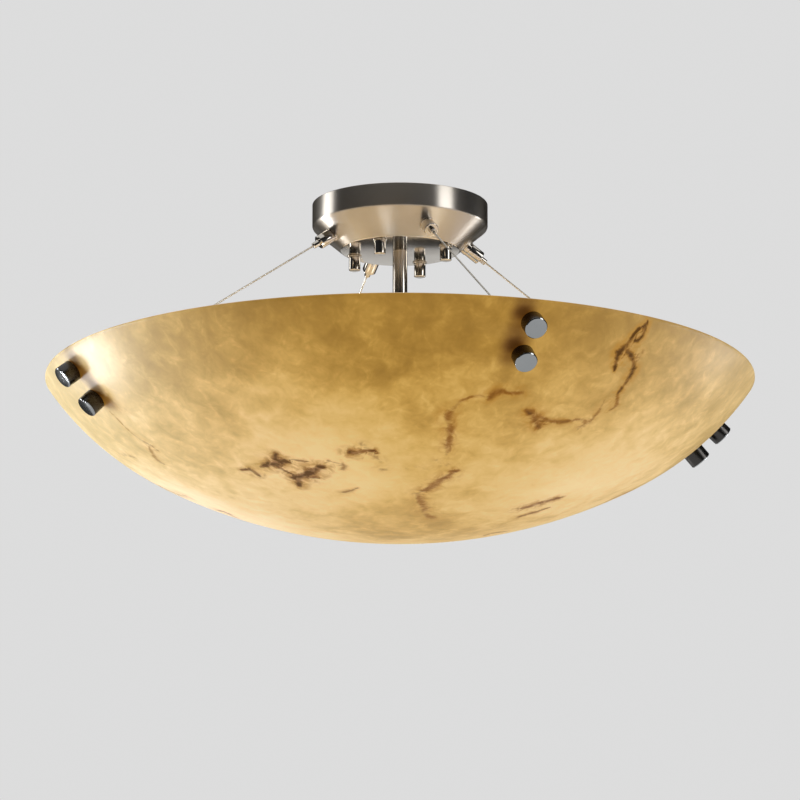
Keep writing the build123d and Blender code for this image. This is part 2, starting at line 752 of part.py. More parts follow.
hollow_screw_start = socket_back - socket_seat - hub_wall - seat_gap
hollow_screw_end = cavity_back - end_gap
with BuildPart() as hollow_screws:
    for angle in lamp_angles:
        axis_plane = lamp_plane(angle)
        turn_tube(axis_plane, hollow_screw_start, hollow_screw_end, nipple_radius, hollow_screw_bore_radius)
        head_origin = axis_plane.origin + axis_plane.x_dir * (hollow_screw_start - hollow_screw_head_height)
        with BuildSketch(Plane(origin=head_origin, x_dir=(0, 0, 1), z_dir=axis_plane.x_dir)):
            RegularPolygon(hollow_screw_head_flats / 2, 6, major_radius=False)
            Circle(hollow_screw_bore_radius, mode=Mode.SUBTRACT)
        extrude(amount=hollow_screw_head_height)
save("hollow_screws", hollow_screws.part)

with BuildPart() as socket_shells:
    for angle in lamp_angles:
        shell_start = -base_length - shell_past_base
        turn_tube(lamp_plane(angle), shell_start, 0, shell_radius, shell_radius - shell_wall)
save("socket_shells", socket_shells.part)

# Each centre contact is a folded strip: a foot on the socket's floor and a tongue under the lamp's button.
tongue = button_end - seat_gap
foot = cavity_back + seat_gap
with BuildPart() as socket_contacts:
    for angle in lamp_angles:
        with BuildSketch(lamp_plane(angle)):
            with BuildLine():
                Polyline(
                    (foot, -contact_foot),
                    (foot, contact_fold),
                    (tongue, contact_fold),
                    (tongue, -contact_foot),
                    (tongue - contact_thickness, -contact_foot),
                    (tongue - contact_thickness, contact_fold - contact_thickness),
                    (foot + contact_thickness, contact_fold - contact_thickness),
                    (foot + contact_thickness, -contact_foot),
                    close=True,
                )
            make_face()
        extrude(amount=contact_width / 2, both=True)
save("socket_contacts", socket_contacts.part)

with BuildPart() as socket_leads:
    for angle in lamp_angles:
        turn_tube(lamp_plane(angle), nipple_bore_radius - mouth_reach, foot - seat_gap, lead_radius)
save("socket_leads", socket_leads.part)

# ---- Lamps: a glass envelope on a screw base ----
flare_reach = glass_ball_radius + glass_flare_radius
flare_height = glass_neck_radius + glass_flare_radius
ball_centre = glass_neck_length + sqrt(flare_reach**2 - flare_height**2)
flare_end_angle = degrees(atan2(flare_height, glass_neck_length - ball_centre))


def glass_outline(inset):
    """The lamp's outline from the neck to the tip, an inset inside the outer glass."""
    Line((-glass_neck_sunk, glass_neck_radius - inset), (glass_neck_length, glass_neck_radius - inset))
    CenterArc(
        (glass_neck_length, flare_height),
        glass_flare_radius + inset,
        -90,
        flare_end_angle - 90,
    )
    return CenterArc((ball_centre, 0), glass_ball_radius - inset, 0, flare_end_angle)


for name, angle in lamps.items():
    axis_plane = lamp_plane(angle)
    with BuildPart() as bulb_globe:
        with BuildSketch(axis_plane):
            with BuildLine():
                outer_ball = glass_outline(0)
                inner_ball = glass_outline(glass_wall)
                Line(outer_ball @ 0, inner_ball @ 0)
                Line(
                    (-glass_neck_sunk, glass_neck_radius),
                    (-glass_neck_sunk, glass_neck_radius - glass_wall),
                )
            make_face()
        revolve(axis=Axis(axis_plane.origin, axis_plane.x_dir))
    save(f"bulb_globe_{name}", bulb_globe.part)

    ridge = [(-base_length, base_radius - thread_depth)]
    for turn_number in range(thread_turns):
        crest = -base_length + thread_start + thread_pitch * turn_number
        ridge += [
            (crest - thread_pitch / 4, base_radius - thread_depth),
            (crest, base_radius),
            (crest + thread_pitch / 4, base_radius - thread_depth),
        ]
    ridge += [(-base_rim_length, base_radius - thread_depth), (0, base_radius)]
    base_inner = base_radius - base_wall
    insulator_end = -base_length - insulator_length
    insulator = [
        (0, base_inner),
        (-base_length + base_wall, base_inner),
        (-base_length + base_wall, 0),
        (button_end, 0),
        (button_end, button_radius),
        (insulator_end, button_radius),
        (insulator_end, insulator_tip_radius),
        (-base_length, base_inner),
    ]
    with BuildPart() as bulb_base:
        turn(axis_plane, ridge + insulator)
    save(f"bulb_base_{name}", bulb_base.part)

# ---- Leads up the stem to their wire connectors ----
lead_z = nipple_top_z + lead_height
lead_bends = [around(lead_spread, lead_z, a) for a in lead_angles]
mouths = [around(connector_start, lead_z, a) for a in connector_angles]
connector_planes = [
    Plane(origin=mouth, x_dir=(mouth - bend).normalized(), z_dir=(0, 0, 1))
    for bend, mouth in zip(lead_bends, mouths)
]
with BuildPart() as supply_leads:
    for lead_angle, bend, plane in zip(lead_angles, lead_bends, connector_planes):
        start = around(lead_spread, lamp_z - lead_foot, lead_angle)
        finish = plane.origin + plane.x_dir * (connector_bore_depth - end_gap)
        with BuildLine() as route:
            FilletPolyline(start, bend, finish, radius=lead_bend)
        with BuildSketch(Plane(origin=start, z_dir=(0, 0, 1))):
            Circle(lead_radius)
        sweep(path=route.line)
save("supply_leads", supply_leads.part)

with BuildPart() as wire_connectors:
    for plane in connector_planes:
        turn(
            plane,
            [
                (0, lead_radius + thread_gap),
                (connector_bore_depth, lead_radius + thread_gap),
                (connector_bore_depth, 0),
                (connector_length, 0),
                (connector_length, connector_tip_radius - connector_tip_edge),
                (connector_length - connector_tip_length, connector_tip_radius),
                (0, connector_mouth_radius),
            ],
        )
save("wire_connectors", wire_connectors.part)
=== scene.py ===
"""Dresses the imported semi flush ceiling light: fine meshes, finishes, studio and camera.

The light's sizes are written in millimetres and the studio's in metres, in the frame's own axes: +Z up, the
origin on the ceiling plane at the canopy's centre, the four cables on the X and Y axes and the four lamps
between them.
"""

import logging
from collections.abc import Callable, Sequence
from dataclasses import dataclass, field
from enum import Enum
from math import asin, atan2, cos, hypot, pi, radians, sin, sqrt, tan

import bmesh
import bpy
import numpy as np
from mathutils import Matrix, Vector


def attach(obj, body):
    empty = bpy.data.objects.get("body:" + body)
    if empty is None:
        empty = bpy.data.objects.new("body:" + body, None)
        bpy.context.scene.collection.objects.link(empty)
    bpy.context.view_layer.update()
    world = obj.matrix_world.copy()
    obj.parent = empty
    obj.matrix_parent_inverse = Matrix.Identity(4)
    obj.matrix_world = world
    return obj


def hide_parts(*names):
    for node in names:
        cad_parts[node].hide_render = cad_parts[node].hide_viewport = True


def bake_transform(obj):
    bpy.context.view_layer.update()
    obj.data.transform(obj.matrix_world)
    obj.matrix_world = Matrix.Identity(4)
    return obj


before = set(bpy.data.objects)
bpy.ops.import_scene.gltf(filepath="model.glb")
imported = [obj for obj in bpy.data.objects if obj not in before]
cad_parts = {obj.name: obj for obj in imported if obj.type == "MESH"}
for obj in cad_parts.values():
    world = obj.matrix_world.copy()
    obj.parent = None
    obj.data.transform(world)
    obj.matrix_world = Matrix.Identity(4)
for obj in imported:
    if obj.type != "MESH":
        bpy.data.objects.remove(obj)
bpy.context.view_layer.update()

log = logging.getLogger("ceiling_light")

MILLIMETRE = 0.001
FRAME_BODY = "fixed_frame"
BOWL_BODY = "bowl_assembly"
FULL_TURN = 2 * pi
SEAT = 0.05  # the gap between two faces that bear on each other
ON_AXIS = 1e-6  # a point nearer to a turning axis than this is on it
NO_LENGTH = 1e-9  # stands in for a length of zero where one divides by it
CRISP_ANGLE = 38.0  # edges that turn by more than this many degrees stay crisp
ROUND_CRISP_ANGLE = 60.0  # the same for the bowl and the lamp globes, whose edges are all rounded
STRAP_DARKNESS = 0.55  # how dark a strap makes the lit wall, where a screw makes it 1


class Station(Enum):
    """A place round the light, by its angle in degrees about +Z from +X."""

    @property
    def label(self) -> str:
        """The name that the CAD nodes of this station end with."""
        return self.name.lower()

    def point(self, out: float, height: float = 0.0) -> np.ndarray:
        """The station's point at a distance from the light's own axis and at a height."""
        turn = radians(self.value)
        return np.array((out * cos(turn), out * sin(turn), height))


class Side(Station):
    """The four cable stations."""

    FRONT = -90.0
    RIGHT = 0.0
    BACK = 90.0
    LEFT = 180.0


class Corner(Station):
    """The four lamp stations."""

    FRONT_RIGHT = -45.0
    BACK_RIGHT = 45.0
    BACK_LEFT = 135.0
    FRONT_LEFT = 225.0


class Slot(Enum):
    """The record's material slots."""

    BRUSHED_NICKEL = "brushed_nickel"
    POLISHED_NICKEL = "polished_nickel"
    SATIN_NICKEL = "satin_nickel"
    STEEL_CABLE = "steel_cable"
    ZINC_STEEL = "zinc_steel"
    GREEN_SCREW = "green_screw"
    WHITE_ENAMEL = "white_enamel"
    WHITE_CERAMIC = "white_ceramic"
    BRASS = "brass"
    LAMP_GLASS = "lamp_glass"
    RUBBER = "rubber"
    LEAD_INSULATION = "lead_insulation"
    CONNECTOR_PLASTIC = "connector_plastic"
    STONE_RESIN = "stone_resin"


# ---------------------------------------------------------------------------------------------------------
# Shaping: outlines, turning axes and lofted rings
# ---------------------------------------------------------------------------------------------------------

Outline = list[tuple[float, float]]
Reach = Callable[[np.ndarray, np.ndarray, np.ndarray], np.ndarray]


@dataclass(frozen=True)
class Bend:
    """One corner of an outline, with the radius that rounds it."""

    along: float
    out: float
    soft: float = 0.0


def softened(*bends: Bend, steps: int = 4) -> Outline:
    """Rounds the corners of a closed outline.

    Args:
        bends: The outline's corners in order.
        steps: How many runs each rounding is divided into.

    Returns:
        The outline's points as (along, out).
    """
    points: Outline = []
    for number, bend in enumerate(bends):
        here = np.array((bend.along, bend.out))
        if bend.soft <= 0:
            points.append((bend.along, bend.out))
            continue
        before, after = bends[number - 1], bends[(number + 1) % len(bends)]
        back = np.array((before.along, before.out)) - here
        ahead = np.array((after.along, after.out)) - here
        back, ahead = back / np.linalg.norm(back), ahead / np.linalg.norm(ahead)
        half = np.arccos(np.clip(back @ ahead, -1, 1)) / 2
        middle = back + ahead
        centre = here + middle / np.linalg.norm(middle) * bend.soft / sin(half)
        first = here + back * bend.soft / tan(half) - centre
        last = here + ahead * bend.soft / tan(half) - centre
        sweep = pi - 2 * half
        for step in range(steps + 1):
            share = step / steps
            arm = (first * sin((1 - share) * sweep) + last * sin(share * sweep)) / sin(sweep)
            points.append(tuple(centre + arm))
    return points


@dataclass(frozen=True)
class Collar:
    """A ring's outline, or a disc's or a rod's where its bore is 0, with each outer edge's rounding."""

    start: float
    end: float
    bore: float
    radius: float
    start_soft: float = 0.0
    end_soft: float = 0.0

    def outline(self, steps: int = 4) -> Outline:
        """Its closed outline, each rounding in so many runs."""
        return softened(
            Bend(self.start, self.bore),
            Bend(self.start, self.radius, self.start_soft),
            Bend(self.end, self.radius, self.end_soft),
            Bend(self.end, self.bore),
            steps=steps,
        )


@dataclass(frozen=True)
class Spindle:
    """A turning axis: a zero point, the way along it, and a way square to it."""

    origin: Vector
    along: Vector
    across: Vector

    @classmethod
    def upright(cls, x: float = 0.0, y: float = 0.0, z: float = 0.0) -> "Spindle":
        """An axis that stands along +Z at a point."""
        return cls(Vector((x, y, z)), Vector((0, 0, 1)), Vector((1, 0, 0)))

    @classmethod
    def leaning(cls, radius: float, height: float, out: float, up: float, angle: float) -> "Spindle":
        """An axis in the upright plane at an angle about +Z.

        Args:
            radius: The zero point's distance from the light's own axis.
            height: The zero point's height.
            out: The outward part of the way along.
            up: The upward part of the way along.
            angle: The plane's angle, in degrees from +X.

        Returns:
            The axis, with its way across level.
        """
        turn = radians(angle)
        along = Vector((out * cos(turn), out * sin(turn), up)).normalized()
        across = Vector((-sin(turn), cos(turn), 0))
        return cls(Vector((radius * cos(turn), radius * sin(turn), height)), along, across)

    def at(self, distance: float) -> Vector:
        """The point at a distance along the axis."""
        return self.origin + self.along * distance

    def ring(self, along: float | np.ndarray, out: float | np.ndarray, turn: np.ndarray) -> np.ndarray:
        """Points about the axis.

        Args:
            along: Distance along the axis, one for all points or one for each.
            out: Distance from the axis, one for all points or one for each.
            turn: Angles about the axis, in radians from the way across.

        Returns:
            An array of one row of x, y, z for each point.
        """
        along, out = np.broadcast_to(along, turn.shape), np.broadcast_to(out, turn.shape)
        side = self.along.cross(self.across)
        arm = np.outer(np.cos(turn), self.across) + np.outer(np.sin(turn), side)
        return np.array(self.origin) + np.outer(along, self.along) + arm * out[:, None]

    def point(self, along: float, out: float, turn: float) -> Vector:
        """The one point at a distance along, a distance out and an angle in radians."""
        return Vector(self.ring(along, out, np.array([turn]))[0])

    def rings(self, outline: Outline, segments: int, reach: Reach | None = None) -> list[np.ndarray]:
        """Turns an outline's points about the axis.

        Args:
            outline: Points as (along, out). One that lies on the axis becomes a pole.
            segments: How many points go round.
            reach: Gives each point's distance from the axis, from its along, out and turn.

        Returns:
            One ring of points, or one pole, for each of the outline's points.
        """
        turn = even_turn(segments)
        rings = []
        for along, out in outline:
            if out <= ON_AXIS:
                rings.append(np.array([self.at(along)]))
                continue
            level, distance = np.full(segments, float(along)), np.full(segments, float(out))
            if reach is not None:
                distance = reach(level, distance, turn)
            rings.append(self.ring(level, distance, turn))
        return rings


def even_turn(count: int) -> np.ndarray:
    """Angles in radians that divide a full turn evenly."""
    return np.arange(count) * FULL_TURN / count


def polygon_reach(turn: np.ndarray, sides: int) -> np.ndarray:
    """How much further than its flats a polygon's outline reaches, at each angle in radians."""
    part = FULL_TURN / sides
    return 1 / np.cos(np.mod(turn + part / 2, part) - part / 2)


def points_of(piece: bpy.types.Object) -> np.ndarray:
    """A piece's vertices in millimetres, one row of x, y, z for each."""
    flat = np.zeros(len(piece.data.vertices) * 3, np.float32)
    piece.data.vertices.foreach_get("co", flat)
    return flat.reshape(-1, 3) / MILLIMETRE


def mark(mesh: bpy.types.Mesh, name: str, values: np.ndarray) -> None:
    """Writes a number or a vector for each vertex as an attribute that materials read."""
    kind, part = ("FLOAT_VECTOR", "vector") if values.ndim > 1 else ("FLOAT", "value")
    attribute = mesh.attributes.new(name, kind, "POINT")
    attribute.data.foreach_set(part, values.astype(np.float32).ravel())


class Blank:
    """The vertices and faces of one piece in the making, with the way that its surface is brushed."""

    def __init__(self) -> None:
        """Starts with nothing in it."""
        self.points: list[np.ndarray] = []
        self.grain: list[np.ndarray] = []
        self.faces: list[tuple[int, ...]] = []
        self.total = 0

    def loft(self, rings: Sequence[np.ndarray], joined: bool = False, capped: bool = False) -> None:
        """Joins rings of points with faces.

        Args:
            rings: Arrays of one row for each point, all of one length, or of one row for a pole.
            joined: Whether the last ring meets the first.
            capped: Whether the end rings are filled with a single face each.
        """
        starts: list[int] = []
        for ring in rings:
            starts.append(self.total)
            self.points.append(ring)
            if len(ring) > 1:
                way = np.roll(ring, -1, axis=0) - np.roll(ring, 1, axis=0)
                self.grain.append(way / np.maximum(np.linalg.norm(way, axis=1, keepdims=True), NO_LENGTH))
            else:
                self.grain.append(np.array([[1.0, 0.0, 0.0]]))
            self.total += len(ring)
        pairs = list(zip(range(len(rings) - 1), range(1, len(rings))))
        if joined:
            pairs.append((len(rings) - 1, 0))
        for low, high in pairs:
            self._bridge(starts[low], len(rings[low]), starts[high], len(rings[high]))
        if capped:
            for place in (0, len(rings) - 1):
                self.faces.append(tuple(starts[place] + k for k in range(len(rings[place]))))

    def _bridge(self, low: int, low_count: int, high: int, high_count: int) -> None:
        """Adds the faces between two rings, given their first points and how many each has."""
        count = max(low_count, high_count)
        for k in range(count):
            following = (k + 1) % count
            if low_count == 1:
                self.faces.append((low, high + following, high + k))
            elif high_count == 1:
                self.faces.append((low + k, low + following, high))
            else:
                self.faces.append((low + k, low + following, high + following, high + k))

    def turn(
        self, spindle: Spindle, outline: Outline, segments: int = 64, reach: Reach | None = None
    ) -> None:
        """Turns a closed outline about an axis.

        Args:
            spindle: The axis.
            outline: Points as (along, out). One that lies on the axis becomes a pole.
            segments: How many points go round.
            reach: Gives each point's distance from the axis, from its along, out and turn.
        """
        rings = spindle.rings(outline, segments, reach)
        on_axis = len(rings[0]) == 1 and len(rings[-1]) == 1
        self.loft(rings, joined=not on_axis)

    def piece(self, name: str, sharp: float = CRISP_ANGLE) -> bpy.types.Object:
        """Makes the piece's object.

        Args:
            name: The object's name.
            sharp: Edges that turn by more than this many degrees stay crisp.

        Returns:
            The object, linked to the scene.
        """
        mesh = bpy.data.meshes.new(name)
        points = np.concatenate(self.points) * MILLIMETRE
        mesh.from_pydata(points.tolist(), [], self.faces)
        mark(mesh, "grain", np.concatenate(self.grain))
        shaping = bmesh.new()
        shaping.from_mesh(mesh)
        bmesh.ops.recalc_face_normals(shaping, faces=shaping.faces)
        shaping.to_mesh(mesh)
        shaping.free()
        mesh.shade_smooth()
        mesh.set_sharp_from_angle(angle=radians(sharp))
        made = bpy.data.objects.new(name, mesh)
        bpy.context.scene.collection.objects.link(made)
        return made


def drilled(piece: bpy.types.Object, drills: bpy.types.Object) -> None:
    """Cuts one piece's closed shapes out of another, and takes the first away.

    Args:
        piece: The piece that is cut.
        drills: The shapes to cut out, which are deleted.
    """
    cut = piece.modifiers.new("drilled", "BOOLEAN")
    cut.operation = "DIFFERENCE"
    cut.solver = "EXACT"
    cut.object = drills
    bpy.context.view_layer.update()
    finished = bpy.data.meshes.new_from_object(piece.evaluated_get(bpy.context.evaluated_depsgraph_get()))
    piece.modifiers.clear()
    finished.set_sharp_from_angle(angle=radians(CRISP_ANGLE))
    piece.data = finished
    bpy.data.objects.remove(drills)


def rounded_line(line: np.ndarray, cut_share: float = 0.25) -> np.ndarray:
    """Cuts each corner of an open line at a share of its runs."""
    early = (1 - cut_share) * line[:-1] + cut_share * line[1:]
    late = cut_share * line[:-1] + (1 - cut_share) * line[1:]
    cut = np.empty((2 * len(early), line.shape[1]))
    cut[0::2], cut[1::2] = early, late
    return np.concatenate((line[:1], cut, line[-1:]))


def off_run(points: np.ndarray, start: np.ndarray, end: np.ndarray) -> tuple[np.ndarray, np.ndarray]:
    """Measures points against a straight run.

    Args:
        points: One row of x, y, z for each point.
        start: Where the run starts.
        end: Where it ends.

    Returns:
        Each point's way from the nearest place on the run, and how far along the run that is, as a share.
    """
    run = end - start
    share = np.clip((points - start) @ run / max(run @ run, NO_LENGTH), 0, 1)
    return points - start - share[:, None] * run, share


# ---------------------------------------------------------------------------------------------------------
# Finishes
# ---------------------------------------------------------------------------------------------------------

Colour = tuple[float, float, float]
Stops = tuple[tuple[float, Colour], ...]

FULL_CHANNEL = 255
SCREEN_KNEE, SCREEN_SLOPE, SCREEN_OFFSET, SCREEN_POWER = 0.04045, 12.92, 0.055, 2.4  # the sRGB curve's
MIX_SHARE, MIX_FIRST, MIX_SECOND, MIX_COLOUR = 0, 6, 7, 2  # the Mix node's sockets for colours


def written(red: int, green: int, blue: int) -> Colour:
    """A colour given as it is seen on a screen, from 0 to 255, as the linear one that nodes take."""
    parts = []
    for channel in (red, green, blue):
        part = channel / FULL_CHANNEL
        curved = ((part + SCREEN_OFFSET) / (1 + SCREEN_OFFSET)) ** SCREEN_POWER
        parts.append(part / SCREEN_SLOPE if part <= SCREEN_KNEE else curved)
    return tuple(parts)


@dataclass(frozen=True)
class Noise:
    """A noise: features to the metre, finer layers, pull to the sides, and the finer layers' weight."""

    scale: float
    detail: float = 3.0
    distortion: float = 0.0
    roughness: float = 0.5


@dataclass(frozen=True)
class Span:
    """A range of values, and the range that it is mapped onto."""

    low: float
    high: float
    out_low: float = 0.0
    out_high: float = 1.0


NOISE_LOW, NOISE_HIGH = 0.3, 0.7  # nearly all of a noise's values lie between these
WHOLE_NOISE = Span(NOISE_LOW, NOISE_HIGH)


class Sum(Enum):
    """The arithmetic that a Math node does."""

    PLUS = "ADD"
    LESS = "SUBTRACT"
    TIMES = "MULTIPLY"
    OVER = "DIVIDE"
    SIZE = "ABSOLUTE"
    MOST = "MAXIMUM"
    EXPONENT = "EXPONENT"


class Mixing(Enum):
    """How a Mix node puts two colours together."""

    PLAIN = "MIX"
    TIMES = "MULTIPLY"


class Dressing:
    """One material's nodes, built by short calls."""

    def __init__(self, name: str) -> None:
        """Starts a material with a Principled shader and its output.

        Args:
            name: The material's name.
        """
        self.material = bpy.data.materials.new(name)
        self.material.use_nodes = True
        self.tree = self.material.node_tree
        self.tree.nodes.clear()
        self.shader = self.tree.nodes.new("ShaderNodeBsdfPrincipled")
        output = self.tree.nodes.new("ShaderNodeOutputMaterial")
        self.tree.links.new(self.shader.outputs["BSDF"], output.inputs["Surface"])
        self.place = self.tree.nodes.new("ShaderNodeTexCoord").outputs["Object"]

    def set(self, **values: float | Colour) -> None:
        """Sets the shader's own sockets; an underscore in a name stands for a space."""
        for label, value in values.items():
            socket = self.shader.inputs[label.replace("_", " ")]
            socket.default_value = (*value, 1.0) if isinstance(value, tuple) else value

    def wire(self, source: bpy.types.NodeSocket, label: str) -> None:
        """Links a node's output to one of the shader's sockets."""
        self.tree.links.new(source, self.shader.inputs[label])

    def _feed(self, socket: bpy.types.NodeSocket, value: object) -> None:
        """Gives a socket a link or a value, whichever it is handed."""
        if isinstance(value, bpy.types.NodeSocket):
            self.tree.links.new(value, socket)
        elif isinstance(value, tuple):
            socket.default_value = (*value, 1.0)
        else:
            socket.default_value = value

    def attribute(self, name: str, vector: bool = False) -> bpy.types.NodeSocket:
        """A mesh attribute, as a number or as a vector."""
        node = self.tree.nodes.new("ShaderNodeAttribute")
        node.attribute_name = name
        return node.outputs["Vector" if vector else "Fac"]

    def noise(self, noise: Noise) -> bpy.types.NodeSocket:
        """A noise from 0 to 1 in the piece's own coordinates."""
        node = self.tree.nodes.new("ShaderNodeTexNoise")
        self.tree.links.new(self.place, node.inputs["Vector"])
        node.inputs["Scale"].default_value = noise.scale
        node.inputs["Detail"].default_value = noise.detail
        node.inputs["Distortion"].default_value = noise.distortion
        node.inputs["Roughness"].default_value = noise.roughness
        return node.outputs["Fac"]

    def sum(self, operation: Sum, *values: object) -> bpy.types.NodeSocket:
        """One piece of arithmetic on sockets or numbers."""
        node = self.tree.nodes.new("ShaderNodeMath")
        node.operation = operation.value
        for socket, value in zip(node.inputs, values):
            self._feed(socket, value)
        return node.outputs["Value"]

    def weighted(self, *layers: tuple[bpy.types.NodeSocket, float]) -> bpy.types.NodeSocket:
        """Adds up values, each times its weight."""
        total, *others = [self.sum(Sum.TIMES, layer, weight) for layer, weight in layers]
        for other in others:
            total = self.sum(Sum.PLUS, total, other)
        return total

    def length(self, vector: bpy.types.NodeSocket) -> bpy.types.NodeSocket:
        """A vector's length."""
        node = self.tree.nodes.new("ShaderNodeVectorMath")
        node.operation = "LENGTH"
        self.tree.links.new(vector, node.inputs[0])
        return node.outputs["Value"]

    def span(self, value: bpy.types.NodeSocket, span: Span) -> bpy.types.NodeSocket:
        """Maps a range of values onto another with a smooth step, held at its ends."""
        node = self.tree.nodes.new("ShaderNodeMapRange")
        node.interpolation_type = "SMOOTHSTEP"
        self.tree.links.new(value, node.inputs["Value"])
        node.inputs["From Min"].default_value = span.low
        node.inputs["From Max"].default_value = span.high
        node.inputs["To Min"].default_value = span.out_low
        node.inputs["To Max"].default_value = span.out_high
        return node.outputs["Result"]

    def mix(
        self, share: object, first: object, second: object, way: Mixing = Mixing.PLAIN
    ) -> bpy.types.NodeSocket:
        """Mixes two colours, the second in so far as the share says."""
        node = self.tree.nodes.new("ShaderNodeMix")
        node.data_type = "RGBA"
        node.blend_type = way.value
        self._feed(node.inputs[MIX_SHARE], share)
        self._feed(node.inputs[MIX_FIRST], first)
        self._feed(node.inputs[MIX_SECOND], second)
        return node.outputs[MIX_COLOUR]

    def gamma(self, colour: bpy.types.NodeSocket, power: float) -> bpy.types.NodeSocket:
        """Raises each part of a colour to a power."""
        node = self.tree.nodes.new("ShaderNodeGamma")
        self.tree.links.new(colour, node.inputs["Color"])
        node.inputs["Gamma"].default_value = power
        return node.outputs["Color"]

    def ramp(self, value: bpy.types.NodeSocket, stops: Stops) -> bpy.types.NodeSocket:
        """A colour ramp with smooth steps between its colours."""
        node = self.tree.nodes.new("ShaderNodeValToRGB")
        elements = node.color_ramp.elements
        node.color_ramp.interpolation = "B_SPLINE"
        while len(elements) < len(stops):
            elements.new(stops[len(elements)][0])
        for element, (where, colour) in zip(elements, stops):
            element.position = where
            element.color = (*colour, 1.0)
        self.tree.links.new(value, node.inputs["Fac"])
        return node.outputs["Color"]

    def bump(self, height: bpy.types.NodeSocket, distance: float, strength: float = 0.5) -> None:
        """Raises the surface by a height, over a distance in millimetres."""
        node = self.tree.nodes.new("ShaderNodeBump")
        node.inputs["Strength"].default_value = strength
        node.inputs["Distance"].default_value = distance * MILLIMETRE
        self.tree.links.new(height, node.inputs["Height"])
        self.wire(node.outputs["Normal"], "Normal")


@dataclass(frozen=True)
class Metal:
    """A metal finish, brushed the way that the piece's grain runs."""

    name: str
    colour: Colour
    worn: Colour
    smooth: float
    rough: float
    brushing: float = 0.0
    relief: float = 0.002
    brush_turn: float = 0.25
    clouds: Noise = Noise(22.0, 4.0, 0.4)
    cloud_weight: float = 0.6
    scratches: Noise = Noise(900.0, 2.0)
    scratch_weight: float = 0.4

    def material(self) -> bpy.types.Material:
        """Builds the finish's material."""
        dressing = Dressing(self.name)
        dressing.set(Metallic=1.0, Anisotropic=self.brushing)
        if self.brushing > 0:
            dressing.set(Anisotropic_Rotation=self.brush_turn)
            dressing.wire(dressing.attribute("grain", vector=True), "Tangent")
        cloud, fine = dressing.noise(self.clouds), dressing.noise(self.scratches)
        clouded = dressing.mix(dressing.span(cloud, WHOLE_NOISE), self.colour, self.worn)
        dressing.wire(clouded, "Base Color")
        mottled = dressing.weighted((cloud, self.cloud_weight), (fine, self.scratch_weight))
        gloss = Span(NOISE_LOW, NOISE_HIGH, self.smooth, self.rough)
        dressing.wire(dressing.span(mottled, gloss), "Roughness")
        dressing.bump(fine, self.relief)
        return dressing.material


@dataclass(frozen=True)
class Moulded:
    """A ceramic, enamel, rubber or plastic finish."""

    name: str
    colour: Colour
    shade: Colour
    smooth: float
    rough: float
    coat: float = 0.0
    relief: float = 0.02
    clouds: Noise = Noise(35.0, 4.0, 0.3)
    pores: Noise = Noise(500.0, 3.0)

    def material(self) -> bpy.types.Material:
        """Builds the finish's material."""
        dressing = Dressing(self.name)
        dressing.set(Coat_Weight=self.coat, Coat_Roughness=0.1)
        cloud, fine = dressing.noise(self.clouds), dressing.noise(self.pores)
        clouded = dressing.mix(dressing.span(cloud, WHOLE_NOISE), self.colour, self.shade)
        dressing.wire(clouded, "Base Color")
        gloss = Span(NOISE_LOW, NOISE_HIGH, self.smooth, self.rough)
        dressing.wire(dressing.span(fine, gloss), "Roughness")
        dressing.bump(fine, self.relief)
        return dressing.material


@dataclass(frozen=True)
class LampGlass:
    """White coated lamp glass that glows, a little less at its neck."""

    name: str = "lamp_glass"
    colour: Colour = written(250, 244, 230)
    glow: Colour = written(255, 226, 176)
    edge: Colour = written(255, 206, 140)
    strength: float = 1.15
    frost: Noise = Noise(160.0, 3.0)
    frosting: Span = Span(NOISE_LOW, NOISE_HIGH, 0.22, 0.34)
    relief: float = 0.01
    patches: Noise = Noise(30.0)
    patch_weight: float = 0.3
    fading: Span = Span(0.1, 1.1)

    def material(self) -> bpy.types.Material:
        """Builds the finish's material."""
        dressing = Dressing(self.name)
        dressing.set(Base_Color=self.colour, Emission_Strength=self.strength, Coat_Weight=0.6)
        frost = dressing.noise(self.frost)
        dressing.wire(dressing.span(frost, self.frosting), "Roughness")
        patches = dressing.sum(Sum.TIMES, dressing.noise(self.patches), self.patch_weight)
        fading = dressing.span(dressing.sum(Sum.PLUS, dressing.attribute("neck"), patches), self.fading)
        dressing.wire(dressing.mix(fading, self.glow, self.edge), "Emission Color")
        dressing.bump(frost, self.relief)
        return dressing.material


